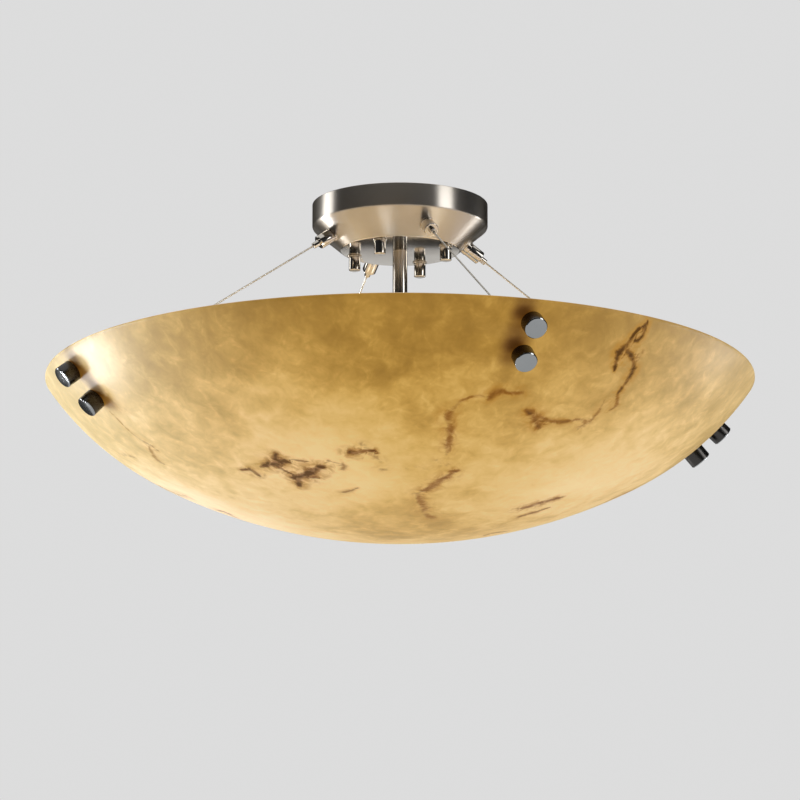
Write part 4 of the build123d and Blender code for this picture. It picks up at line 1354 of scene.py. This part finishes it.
@dataclass
class WallFittings:
    """The finials outside the wall, and the straps, pads, screws and gaskets that they clamp."""

    bowl: Bowl
    finial_radius: float = 9.5
    finial_length: float = 12.7
    finial_edge: float = 0.7
    finial_soft: float = 0.15
    finial_start: float = 0.9
    finial_segments: int = 80
    side_limit: float = 0.2
    side_plating: Metal = Metal(
        "dark_nickel", written(84, 82, 80), written(74, 72, 70), 0.24, 0.3, 0.3, relief=0.0
    )
    gasket_radius: float = 8.0
    gasket_thickness: float = 0.8
    gasket_edge: float = 0.3
    strap_arcs: tuple[float, float] = (9.0, 63.5)
    strap_width: float = 18.0
    strap_inward: float = 6.9
    strap_thickness: float = 3.0
    strap_rows: int = 36
    strap_narrowing: float = 0.16
    strap_end: float = 2.5
    pad_inward: float = 6.05
    pad_thickness: float = 0.8
    corner_round: float = 1.2
    corner_share: float = 0.45
    boss_radius: float = 4.5
    boss_rise: float = 9.8
    boss_sunk: float = 3.0
    boss_bore: float = 1.1
    boss_edge: float = 0.7
    screw_radius: float = 2.0
    screw_reach: float = 8.0
    screw_edge: float = 0.3
    screw_tip_points: int = 3  # how many of the tip's rounding are left out
    screw_segments: int = 48
    head_radius: float = 4.0
    head_height: float = 2.6
    head_edge: float = 0.8
    key_sides: int = 6
    key_flats: float = 1.3
    key_depth: float = 1.6

    def make(self, shop: Workshop, line: "CableLine") -> None:
        """Makes every fitting on the wall.

        Args:
            shop: The finishes.
            line: Where the cables run.
        """
        self.make_finials(shop)
        self.make_straps(shop, line)
        self.make_screws(shop)

    def make_finials(self, shop: Workshop) -> None:
        """Turns a pair of finials for each side, and all the gaskets."""
        gaskets = Blank()
        plating = self.side_plating.material()
        start, end, soft = self.finial_start, self.finial_start + self.finial_length, self.gasket_edge
        finial = softened(
            Bend(start, 0),
            Bend(start, self.finial_radius, self.finial_edge / 2),
            Bend(end - self.finial_edge, self.finial_radius, self.finial_soft),
            Bend(end, self.finial_radius - self.finial_edge, self.finial_soft),
            Bend(end, 0),
        )
        far_face = SEAT + self.gasket_thickness
        gasket = Collar(SEAT, far_face, self.screw_radius, self.gasket_radius, soft, soft)
        for side in Side:
            pair = Blank()
            for arc in self.bowl.screw_arcs:
                spindle = self.bowl.wall_spindle(arc, side)
                pair.turn(spindle, finial, self.finial_segments)
                gaskets.turn(spindle, gasket.outline())
            piece, name = pair.piece(f"finial_pair_{side.label}"), f"finials_{side.label}"
            shop.fit(piece, Slot.SATIN_NICKEL, BOWL_BODY, name)
            self.darken_sides(piece, plating, side)
        shop.fit(gaskets.piece("finial_gasket_rings"), Slot.RUBBER, BOWL_BODY, "finial_gaskets")

    def darken_sides(self, piece: bpy.types.Object, plating: bpy.types.Material, side: Side) -> None:
        """Gives the finials' turned sides their darker plating.

        Args:
            piece: A pair of finials.
            plating: The sides' finish.
            side: The side of the bowl that the pair is on.
        """
        piece.data.materials.append(plating)
        ways = [self.bowl.wall_spindle(arc, side).along for arc in self.bowl.screw_arcs]
        for face in piece.data.polygons:
            if max(abs(face.normal.dot(way)) for way in ways) < self.side_limit:
                face.material_index = 1

    def strip(self, blank: Blank, side: Side, inward: float, thickness: float) -> None:
        """Adds a rounded strip that follows the inside of the wall, a little narrower at its very ends.

        Args:
            blank: What it is added to.
            side: Its station.
            inward: How far inside the wall's outer face it starts.
            thickness: Its thickness.
        """
        half, soft = self.strap_width / 2, min(self.corner_round, thickness * self.corner_share)
        section = softened(
            Bend(-half, 0, soft),
            Bend(half, 0, soft),
            Bend(half, thickness, soft),
            Bend(-half, thickness, soft),
            steps=3,
        )
        first, last = self.strap_arcs
        rings = []
        for row in range(self.strap_rows + 1):
            arc = first + (last - first) * row / self.strap_rows
            end_gap = min(arc - first, last - arc)
            narrow = 1 - self.strap_narrowing * max(0.0, 1 - end_gap / self.strap_end) ** 2
            ring = []
            for across, deep in section:
                out, up, _ = self.bowl.wall_point(arc, inward + deep)
                turn = radians(side.value) + across * narrow / out
                ring.append((out * cos(turn), out * sin(turn), up))
            rings.append(np.array(ring))
        blank.loft(rings, capped=True)

    def make_straps(self, shop: Workshop, line: "CableLine") -> None:
        """Makes the straps with the bosses that the cables end in, and the pads behind them."""
        rise, sunk = line.length - self.boss_rise, line.length - self.boss_sunk
        boss = Collar(rise, sunk, self.boss_bore, self.boss_radius, self.boss_edge)
        straps, pads = Blank(), Blank()
        for side in Side:
            self.strip(straps, side, self.strap_inward, self.strap_thickness)
            self.strip(pads, side, self.pad_inward, self.pad_thickness)
            straps.turn(line.spindle(side), boss.outline())
        shop.fit(straps.piece("wall_strap_set"), Slot.ZINC_STEEL, BOWL_BODY, "wall_straps")
        shop.fit(pads.piece("strap_pad_set"), Slot.RUBBER, BOWL_BODY, "strap_pads")

    def make_screws(self, shop: Workshop) -> None:
        """Turns the screws, each with a hexagon socket in its head."""
        blank = Blank()
        seat = -self.strap_inward - self.strap_thickness - SEAT
        tip, top = self.finial_start + self.screw_reach, seat - self.head_height
        turn = even_turn(self.screw_segments)
        key = self.key_flats * polygon_reach(turn, self.key_sides)
        levels = softened(
            Bend(tip, self.screw_radius, self.screw_edge),
            Bend(seat, self.screw_radius),
            Bend(seat, self.head_radius, self.screw_edge),
            Bend(top, self.head_radius, self.head_edge),
        )[self.screw_tip_points:]
        bottom = top + self.key_depth
        for side in Side:
            for arc in self.bowl.screw_arcs:
                spindle = self.bowl.wall_spindle(arc, side)
                rings = [spindle.ring(along, out, turn) for along, out in levels]
                socket = [spindle.ring(along, key, turn) for along in (top, bottom)]
                blank.loft([np.array([spindle.at(tip)]), *rings, *socket, np.array([spindle.at(bottom)])])
        shop.fit(blank.piece("strap_screws"), Slot.ZINC_STEEL, BOWL_BODY, "finial_screws")


# ---------------------------------------------------------------------------------------------------------
# Cables and their grippers
# ---------------------------------------------------------------------------------------------------------


@dataclass
class CableLine:
    """The straight line that each cable runs along, from the cone to the inside of the bowl's wall."""

    canopy: Canopy
    bowl: Bowl
    seat_share: float = 0.56
    anchor_arc: float = 36.25
    start_out: float = field(init=False)
    start_z: float = field(init=False)
    run: float = field(init=False)
    fall: float = field(init=False)
    length: float = field(init=False)

    def __post_init__(self) -> None:
        """Works out where the line starts, how it runs and how long it is."""
        self.start_out = self.canopy.radius - self.seat_share * self.canopy.cone_width
        self.start_z = -self.canopy.band - self.canopy.cone_drop * self.seat_share
        end_out, end_z, _ = self.bowl.wall_point(self.anchor_arc, self.bowl.wall)
        self.run, self.fall = end_out - self.start_out, end_z - self.start_z
        self.length = hypot(self.run, self.fall)

    def spindle(self, side: Side) -> Spindle:
        """The turning axis on a side's line: 0 on the cone, growing towards the bowl."""
        return Spindle.leaning(self.start_out, self.start_z, self.run, self.fall, side.value)


@dataclass
class Cables:
    """Four taut wire ropes, each of six strands laid round a core."""

    line: CableLine
    radius: float = 0.8
    tail: float = 16.0
    end_gap: float = 1.9
    strands: int = 6
    lay: float = 9.0
    step: float = 0.75
    strand_sides: int = 6
    bend_start: float = 24.0
    bend_end: float = 250.0

    def make(self, shop: Workshop) -> None:
        """Lays each rope between the frame and the bowl."""
        strand = self.radius / 3  # as thick as the core, with one on each side of it
        start, end = -self.tail, self.line.length - self.end_gap
        places = np.linspace(start, end, int((end - start) / self.step))
        around = even_turn(self.strand_sides)
        for side in Side:
            spindle = self.line.spindle(side)
            blank = Blank()
            for number in range(self.strands + 1):
                offset = 0.0 if number == self.strands else self.radius - strand
                phase = number * FULL_TURN / self.strands
                rings = []
                for place in places:
                    centre = spindle.point(place, offset, phase + FULL_TURN * place / self.lay)
                    rings.append(Spindle(centre, spindle.along, spindle.across).ring(0.0, strand, around))
                blank.loft(rings, capped=True)
            piece, node = blank.piece(f"wire_rope_{side.label}"), f"cable_{side.label}"
            near, far = spindle.at(self.bend_start), spindle.at(self.bend_end)
            shop.stretch(piece, Slot.STEEL_CABLE, BOWL_BODY, node)


@dataclass
class Grippers:
    """The cable grippers on the cone: a body, its sprung plunger and the spring inside."""

    line: CableLine
    bore: float = 1.1
    body_radius: float = 6.0
    body_start: float = 2.5
    body_end: float = 15.5
    body_edge: float = 0.7
    body_segments: int = 72
    shank_radius: float = 4.0
    shank_start: float = -11.0
    shank_edge: float = 0.3
    cavity_radius: float = 3.1
    cavity_start: float = -9.5
    cage_end: float = 3.0
    cage_slope: float = 1.0
    mouth_radius: float = 2.7
    mouth_edge: float = 0.2
    plunger_radius: float = 2.6
    plunger_end: float = 21.7
    plunger_edge: float = 0.6
    plunger_segments: int = 64
    collar_gap: float = 0.1
    collar_edge: float = 0.2
    collar_slope: tuple[float, float] = (0.2, 0.3)
    button_bore_edge: float = 0.3
    spring_wire: float = 0.3
    spring_sides: int = 8
    spring_turns: float = 7.0
    spring_steps: int = 24

    def make(self, shop: Workshop) -> None:
        """Makes the four grippers."""
        for side in Side:
            self.make_body(shop, side)
            self.make_plunger(shop, side)
            self.make_spring(shop, side)

    def make_body(self, shop: Workshop, side: Side) -> None:
        """Turns the body with its shank through the cone."""
        outline = softened(
            Bend(self.shank_start, self.bore),
            Bend(self.cavity_start, self.bore),
            Bend(self.cavity_start, self.cavity_radius),
            Bend(self.cage_end, self.cavity_radius),
            Bend(self.cage_end + self.cage_slope, self.mouth_radius),
            Bend(self.body_end, self.mouth_radius, self.mouth_edge),
            Bend(self.body_end, self.body_radius, self.body_edge),
            Bend(self.body_start, self.body_radius, self.body_edge / 2),
            Bend(self.body_start, self.shank_radius),
            Bend(self.shank_start, self.shank_radius, self.shank_edge),
        )
        name, node, slot = f"cable_gripper_{side.label}", f"gripper_body_{side.label}", Slot.POLISHED_NICKEL
        spindle = self.line.spindle(side)
        shop.turned(name, spindle, outline, slot, FRAME_BODY, node, segments=self.body_segments)

    def make_plunger(self, shop: Workshop, side: Side) -> None:
        """Turns the plunger that sticks out of the body."""
        collar = self.cavity_radius - self.collar_gap
        ahead, behind = self.collar_slope
        outline = softened(
            Bend(0.0, self.bore),
            Bend(self.plunger_end, self.bore, self.button_bore_edge),
            Bend(self.plunger_end, self.plunger_radius, self.plunger_edge),
            Bend(self.cage_end + ahead, self.plunger_radius),
            Bend(self.cage_end - behind, collar),
            Bend(0.0, collar, self.collar_edge),
        )
        parts = ("release_plunger", "gripper_plunger", "plunger")
        name, node, body = (f"{part}_{side.label}" for part in parts)
        spindle, slot = self.line.spindle(side), Slot.POLISHED_NICKEL
        shop.turned(name, spindle, outline, slot, body, node, segments=self.plunger_segments)

    def make_spring(self, shop: Workshop, side: Side) -> None:
        """Coils the spring between the body and the plunger."""
        spindle = self.line.spindle(side)
        low, high = self.cavity_start + self.spring_wire, -self.spring_wire - SEAT
        coil = self.cavity_radius - self.collar_gap - self.spring_wire
        around = even_turn(self.spring_sides)
        whole = self.spring_turns * FULL_TURN
        rings = []
        for turn in np.linspace(0, whole, int(self.spring_turns * self.spring_steps) + 1):
            along = low + (high - low) * turn / whole
            centre = spindle.point(along, coil, turn)
            outward = (centre - spindle.at(along)).normalized()
            wire = Spindle(centre, outward.cross(spindle.along), outward)
            rings.append(wire.ring(0.0, self.spring_wire, around))
        blank = Blank()
        blank.loft(rings, capped=True)
        piece, node = blank.piece(f"plunger_spring_{side.label}"), f"gripper_spring_{side.label}"
        near, far = spindle.at(low), spindle.at(high)
        shop.stretch(piece, Slot.ZINC_STEEL, f"plunger_{side.label}", node)


# ---------------------------------------------------------------------------------------------------------
# Lamp cluster
# ---------------------------------------------------------------------------------------------------------


@dataclass
class LampHub:
    """The eight-sided box on the stem's lower end, with its cover and cap."""

    apothem: float = 30.0
    sides: int = 8
    corner_share: float = 0.82
    top: float = -172.0
    height: float = 36.0
    wall: float = 2.0
    bore: float = 5.25
    round: float = 2.0
    edge: float = 0.3
    cover: float = 3.0
    cap_radius: float = 9.0
    cap_height: float = 9.0
    cap_edge: float = 0.4
    cap_round: float = 3.0
    segments: int = 128

    def eight_sided(self, along: np.ndarray, out: np.ndarray, turn: np.ndarray) -> np.ndarray:
        """Pushes a ring out to the box's flats and softly rounded corners, unless it is a bore's.

        Args:
            along: The ring's distances along the axis.
            out: Its distances from the axis.
            turn: Its angles about the axis.

        Returns:
            The new distances from the axis.
        """
        if out[0] <= self.apothem / 2:
            return out
        spin = pi / self.sides
        reach = np.minimum(polygon_reach(turn + spin, self.sides), 1 / cos(spin))
        return out * (1 + self.corner_share * (reach - 1))

    def make(self, shop: Workshop) -> None:
        """Makes the box, its cover and its cap."""
        axis, bottom, inside = Spindle.upright(), self.top - self.height, self.apothem - self.wall
        box = softened(
            Bend(self.top, self.bore),
            Bend(self.top, self.apothem, self.round),
            Bend(bottom, self.apothem, self.edge),
            Bend(bottom, inside),
            Bend(self.top - self.wall, inside),
            Bend(self.top - self.wall, self.bore),
        )
        lid_top = bottom - SEAT
        lid = Collar(lid_top, lid_top - self.cover, self.bore, self.apothem, self.edge, self.cover / 3)
        shaping = {"segments": self.segments, "reach": self.eight_sided}
        for name, outline, node in (("hub_box", box, "hub_body"), ("hub_lid", lid.outline(), "hub_cover")):
            shop.turned(name, axis, outline, Slot.WHITE_ENAMEL, FRAME_BODY, node, **shaping)
        cap_top = lid_top - self.cover - SEAT
        cap = Collar(cap_top, cap_top - self.cap_height, 0, self.cap_radius, self.cap_edge, self.cap_round)
        shop.turned("hub_end_cap", axis, cap.outline(steps=8), Slot.POLISHED_NICKEL, FRAME_BODY, "hub_cap")


@dataclass
class LampSet:
    """The four sockets and their screw-in lamps. Along a lamp's axis, 0 is where its glass starts."""

    mouth: float = 76.0
    height: float = -189.0
    socket_radius: float = 18.0
    socket_back: float = -44.0
    socket_bore: float = 5.05
    socket_lip: float = 1.0
    socket_back_round: float = 4.0
    socket_segments: int = 96
    groove: tuple[float, float, float, float] = (-9.0, -8.4, -7.6, -7.0)
    groove_depth: float = 0.6
    groove_edge: float = 0.3
    cavity_radius: float = 14.2
    cavity_edge: float = 0.4
    cavity_back: float = -32.0
    base_radius: float = 13.1
    base_length: float = 24.0
    base_wall: float = 0.8
    base_segments: int = 72
    base_crisp_angle: float = 50.0
    thread_pitch: float = 3.63
    thread_depth: float = 0.45
    thread_step: float = 0.3
    thread_start: float = -4.0
    thread_fade: float = 2.0
    insulator: float = 3.0
    insulator_tip: float = 6.0
    insulator_edge: float = 0.5
    button_radius: float = 4.5
    button: float = 1.4
    button_edge: float = 0.2
    button_round: float = 0.8
    neck_radius: float = 12.2
    neck_start: float = -8.0
    neck_length: float = 6.0
    neck_fade: float = 30.0
    flare_radius: float = 40.0
    flare_points: int = 12
    ball_radius: float = 30.0
    ball_points: int = 40
    glass: float = 1.0
    globe_segments: int = 80

    def make(self, shop: Workshop) -> None:
        """Makes the sockets and lamps."""
        for corner in Corner:
            spindle = Spindle.leaning(self.mouth, self.height, 1, 0, corner.value)
            self.make_socket(shop, spindle, corner)
            self.make_globe(shop, spindle, corner)
            self.make_base(shop, spindle, corner)
            self.make_contact(shop, spindle, corner)

    def make_socket(self, shop: Workshop, spindle: Spindle, corner: Corner) -> None:
        """Turns the ceramic socket, with a groove round its mouth."""
        outside, soft = self.socket_radius, self.groove_edge
        grooved = outside - self.groove_depth
        outline = softened(
            Bend(self.socket_back, self.socket_bore),
            Bend(self.socket_back, outside, self.socket_back_round),
            *(Bend(z, out, soft) for z, out in zip(self.groove, (outside, grooved, grooved, outside))),
            Bend(self.socket_lip, outside, self.socket_lip),
            Bend(self.socket_lip, self.cavity_radius, self.cavity_edge),
            Bend(self.cavity_back, self.cavity_radius),
            Bend(self.cavity_back, self.socket_bore),
            steps=5,
        )
        name, node, slot = f"lamp_socket_{corner.label}", f"socket_{corner.label}", Slot.WHITE_CERAMIC
        shop.turned(name, spindle, outline, slot, FRAME_BODY, node, segments=self.socket_segments)

    def glass_outline(self, inset: float) -> Outline:
        """The globe's outline from neck to tip, an inset inside its outer face."""
        flare_height = self.neck_radius + self.flare_radius
        centre = self.neck_length + sqrt((self.ball_radius + self.flare_radius) ** 2 - flare_height**2)
        meeting = atan2(flare_height, self.neck_length - centre)
        points = [(self.neck_start, self.neck_radius - inset)]
        flare, ball = self.flare_radius + inset, self.ball_radius - inset
        for share in np.linspace(0, 1, self.flare_points):
            turn = -pi / 2 + share * (meeting - pi / 2)
            points.append((self.neck_length + flare * cos(turn), flare_height + flare * sin(turn)))
        for share in np.linspace(0, 1, self.ball_points)[1:-1]:
            turn = meeting * (1 - share)
            points.append((centre + ball * cos(turn), ball * sin(turn)))
        points.append((centre + ball, 0.0))
        return points

    def make_globe(self, shop: Workshop, spindle: Spindle, corner: Corner) -> None:
        """Turns the glass, outside and inside, and marks its neck."""
        outer, inner = self.glass_outline(0), self.glass_outline(self.glass)
        rings = spindle.rings(outer + inner[::-1], self.globe_segments)
        blank = Blank()
        blank.loft(rings[: len(outer)])
        blank.loft(rings[len(outer):])
        blank.loft([rings[0], rings[-1]])
        piece = blank.piece(f"lamp_globe_{corner.label}", ROUND_CRISP_ANGLE)
        along = (points_of(piece) - np.array(spindle.origin)) @ np.array(spindle.along)
        mark(piece.data, "neck", np.clip(1 - along / self.neck_fade, 0, 1))
        shop.fit(piece, Slot.LAMP_GLASS, f"lamp_{corner.label}", f"bulb_globe_{corner.label}")

    def rolled(self, along: np.ndarray, out: np.ndarray, turn: np.ndarray) -> np.ndarray:
        """Follows the thread's helix on the base's outside.

        Args:
            along: A ring's distances along the axis.
            out: Its distances from the axis.
            turn: Its angles about the axis.

        Returns:
            The new distances from the axis.
        """
        if out[0] < self.base_radius - self.base_wall / 2:
            return out
        in_fade = np.clip((along + self.base_length) / self.thread_fade, 0, 1)
        out_fade = np.clip((self.thread_start - along) / self.thread_fade, 0, 1)
        wave = (1 + np.cos(turn - FULL_TURN * along / self.thread_pitch)) / 2
        return out - self.thread_depth + self.thread_depth * wave * in_fade * out_fade

    def make_base(self, shop: Workshop, spindle: Spindle, corner: Corner) -> None:
        """Rolls the screw base's thread."""
        inner, back, step = self.base_radius - self.base_wall, -self.base_length, self.thread_step
        outline = [(along, self.base_radius) for along in np.arange(back, -2 * step, step)]
        outline += [(-step, self.base_radius), (0.0, self.base_radius), (0.0, inner)]
        outline += [(back + self.base_wall, inner), (back, inner)]
        shop.turned(
            f"lamp_base_{corner.label}",
            spindle,
            outline,
            Slot.BRASS,
            f"lamp_{corner.label}",
            f"bulb_base_{corner.label}",
            segments=self.base_segments,
            reach=self.rolled,
            sharp=self.base_crisp_angle,
        )

    def make_contact(self, shop: Workshop, spindle: Spindle, corner: Corner) -> None:
        """Turns the insulator behind the screw base, and the button that is its centre contact."""
        start, end, body = -self.base_length, -self.base_length - self.insulator, f"lamp_{corner.label}"
        insulator = softened(
            Bend(start + self.base_wall, 0),
            Bend(start, self.base_radius - self.base_wall),
            Bend(end, self.insulator_tip, self.insulator_edge),
            Bend(end, 0),
        )
        shop.turned(f"lamp_insulator_{corner.label}", spindle, insulator, Slot.LEAD_INSULATION, body)
        button = Collar(end, end - self.button, 0, self.button_radius, self.button_edge, self.button_round)
        shop.turned(f"lamp_button_{corner.label}", spindle, button.outline(), Slot.ZINC_STEEL, body)


# ---------------------------------------------------------------------------------------------------------
# Studio and camera, in metres
# ---------------------------------------------------------------------------------------------------------


class Task(Enum):
    """What a studio lamp does."""

    WASH = "lights surfaces"
    SHINE = "shows in metal and gloss"


@dataclass(frozen=True)
class Softbox:
    """A rectangular studio lamp that faces the light, at an azimuth in degrees from -Y towards +X."""

    name: str
    azimuth: float
    elevation: float
    distance: float
    width: float
    height: float
    radiance: float
    task: Task
    wash_spread: float = 80.0
    wash_colour: Colour = (0.54, 0.72, 1.0)

    def make(self, target: Vector) -> None:
        """Hangs the softbox in the studio, facing a point."""
        lamp = bpy.data.lights.new(self.name, "AREA")
        lamp.shape = "RECTANGLE"
        lamp.size, lamp.size_y = self.width, self.height
        lamp.energy = self.radiance * pi * self.width * self.height
        holder = bpy.data.objects.new(self.name, lamp)
        bpy.context.scene.collection.objects.link(holder)
        turn, lift = radians(self.azimuth), radians(self.elevation)
        away = Vector((sin(turn) * cos(lift), -cos(turn) * cos(lift), sin(lift)))
        holder.location = target + away * self.distance
        holder.rotation_mode = "QUATERNION"
        holder.rotation_quaternion = away.to_track_quat("Z", "Y")
        holder.visible_camera = False
        if self.task is Task.WASH:
            holder.visible_glossy = False
            lamp.spread = radians(self.wash_spread)
            lamp.color = self.wash_colour
        else:
            holder.visible_diffuse = False


def when_seen(tree: bpy.types.NodeTree, unseen: float, seen: float) -> bpy.types.NodeSocket:
    """A level that differs between what is looked at, by eye or in metal and glass, and what gives light.

    Args:
        tree: The nodes to add to.
        unseen: The level for the light that it gives.
        seen: The level for the camera, for reflections and through glass.

    Returns:
        The level's socket.
    """
    path = tree.nodes.new("ShaderNodeLightPath")
    looks = path.outputs["Is Camera Ray"]
    for label in ("Is Glossy Ray", "Is Transmission Ray"):
        either = tree.nodes.new("ShaderNodeMath")
        either.operation = Sum.MOST.value
        tree.links.new(looks, either.inputs[0])
        tree.links.new(path.outputs[label], either.inputs[1])
        looks = either.outputs["Value"]
    level = tree.nodes.new("ShaderNodeMapRange")
    tree.links.new(looks, level.inputs["Value"])
    level.inputs["To Min"].default_value = unseen
    level.inputs["To Max"].default_value = seen
    return level.outputs["Result"]


@dataclass
class Studio:
    """A pale floor and backdrop, soft lamps, and a dark surround that only reflections see."""

    aim: tuple[float, float, float] = (0.0, 0.0, -0.16)
    white: tuple[float, float, float, float] = (1.0, 1.0, 1.0, 1.0)
    backdrop: float = 0.72
    ambient: float = 0.22
    floor_z: float = -5.6
    floor_half: float = 60.0
    floor_lift: float = 0.66
    floor_paints: tuple[Colour, Colour] = ((0.74, 0.74, 0.745), (0.76, 0.76, 0.76))
    floor_clouds: Noise = Noise(3.0)
    surround_radius: float = 3.6
    surround_low: float = -1.5
    surround_high: float = 3.4
    surround_segments: int = 96
    felt: Noise = Noise(4.0)
    felt_colours: tuple[Colour, Colour] = ((0.035, 0.032, 0.03), (0.05, 0.046, 0.042))
    boxes: tuple[Softbox, ...] = (
        Softbox("left_softbox", -130.0, 12.0, 2.6, 0.9, 1.5, 3.0, Task.SHINE),
        Softbox("right_softbox", 40.0, 12.0, 2.6, 0.9, 1.5, 3.2, Task.SHINE),
        Softbox("left_kicker", -144.0, -21.0, 2.4, 0.5, 0.4, 52.0, Task.SHINE),
        Softbox("back_card", 158.7, -7.6, 2.4, 1.6, 0.42, 0.62, Task.SHINE),
        Softbox("right_kicker", 106.0, -16.0, 2.6, 0.5, 0.5, 8.0, Task.SHINE),
        Softbox("left_wash", -132.0, 0.0, 2.2, 1.6, 1.6, 8.8, Task.WASH),
        Softbox("right_wash", 92.0, -4.0, 2.4, 1.6, 1.6, 4.0, Task.WASH),
    )

    def make(self) -> None:
        """Builds the world, the floor, the surround and the lamps."""
        self.make_world()
        self.make_floor()
        self.make_surround()
        for box in self.boxes:
            box.make(Vector(self.aim))

    def make_world(self) -> None:
        """Makes the backdrop that the camera, metal and glass see, and the light that it gives."""
        world = bpy.data.worlds.new("pale_backdrop")
        bpy.context.scene.world = world
        world.use_nodes = True
        seen = world.node_tree.nodes["Background"]
        level = when_seen(world.node_tree, self.ambient, self.backdrop)
        world.node_tree.links.new(level, seen.inputs["Strength"])
        seen.inputs["Color"].default_value = self.white

    def make_floor(self) -> None:
        """Lays the floor."""
        half, z = self.floor_half, self.floor_z
        mesh = bpy.data.meshes.new("floor")
        corners = [(-half, -half, z), (half, -half, z), (half, half, z), (-half, half, z)]
        mesh.from_pydata(corners, [], [tuple(range(len(corners)))])
        floor = bpy.data.objects.new("floor", mesh)
        bpy.context.scene.collection.objects.link(floor)
        dressing = Dressing("pale_floor")
        paint = dressing.mix(dressing.noise(self.floor_clouds), *self.floor_paints)
        dressing.wire(paint, "Base Color")
        dressing.wire(paint, "Emission Color")
        dressing.wire(when_seen(dressing.tree, 0.0, self.floor_lift), "Emission Strength")
        dressing.set(Roughness=0.9)
        mesh.materials.append(dressing.material)

    def make_surround(self) -> None:
        """Bends a dark card round the light, which reflections alone see."""
        blank = Blank()
        turn = even_turn(self.surround_segments)
        upright, radius = Spindle.upright(), self.surround_radius / MILLIMETRE
        ends = (self.surround_low, self.surround_high)
        blank.loft([upright.ring(z / MILLIMETRE, radius, turn) for z in ends])
        card = blank.piece("dark_surround")
        dressing = Dressing("dark_card")
        dressing.wire(dressing.mix(dressing.noise(self.felt), *self.felt_colours), "Base Color")
        dressing.set(Roughness=0.9)
        card.data.materials.append(dressing.material)
        card.visible_camera = False
        card.visible_diffuse = False
        card.visible_shadow = False
        card.visible_transmission = False


@dataclass
class PhotoCamera:
    """The camera at the photograph's viewing angle: a long lens, below the light, looking up.

    The angles below the light and of its upward pitch are in radians, its azimuth in degrees.
    """

    distance: float = 4.891
    below: float = 0.2649
    pitch: float = 0.2304
    azimuth: float = -21.3
    focal_pixels: float = 5636.0
    frame_pixels: float = 800.0
    sensor: float = 36.0
    nearest: float = 0.1
    farthest: float = 200.0

    def make(self) -> None:
        """Places the camera and makes it the scene's."""
        data = bpy.data.cameras.new("photo_camera")
        data.sensor_width = self.sensor
        data.lens = self.sensor * self.focal_pixels / self.frame_pixels
        data.clip_start, data.clip_end = self.nearest, self.farthest
        holder = bpy.data.objects.new("photo_camera", data)
        bpy.context.scene.collection.objects.link(holder)
        turn = radians(self.azimuth)
        level = Vector((sin(turn), -cos(turn), 0))
        holder.location = self.distance * (level * cos(self.below) - Vector((0, 0, sin(self.below))))
        ahead = -level * cos(self.pitch) + Vector((0, 0, sin(self.pitch)))
        holder.rotation_mode = "QUATERNION"
        holder.rotation_quaternion = ahead.to_track_quat("-Z", "Y")
        bpy.context.scene.camera = holder


KEPT_NODES = {
    Slot.ZINC_STEEL: (
        "mounting_plate",
        "canopy_studs",
        "canopy_stud_nuts",
        "stem_washer",
        "stem_lock_nuts",
        "gripper_lock_nuts",
        "cable_stops",
        "socket_washers",
        "hollow_screws",
    ),
    Slot.POLISHED_NICKEL: ("gripper_wedges",),
    Slot.GREEN_SCREW: ("ground_screw",),
    Slot.BRASS: ("socket_shells", "socket_contacts"),
    Slot.LEAD_INSULATION: ("socket_leads", "supply_leads"),
    Slot.CONNECTOR_PLASTIC: ("wire_connectors",),
}


def main() -> None:
    """Builds the light piece by piece, then the studio."""
    logging.basicConfig(level=logging.INFO, format="%(name)s: %(message)s")
    bpy.context.scene.view_settings.view_transform = "Standard"
    PhotoCamera().make()
    shop = Workshop()
    canopy, bowl = Canopy(), Bowl()
    line = CableLine(canopy, bowl)
    canopy.make(shop, line)
    Stem().make(shop)
    bowl.make(shop)
    WallFittings(bowl).make(shop, line)
    Cables(line).make(shop)
    Grippers(line).make(shop)
    LampHub().make(shop)
    LampSet().make(shop)
    for slot, nodes in KEPT_NODES.items():
        shop.keep(slot, *nodes)
    Studio().make()


if __name__ == "__main__":
    main()
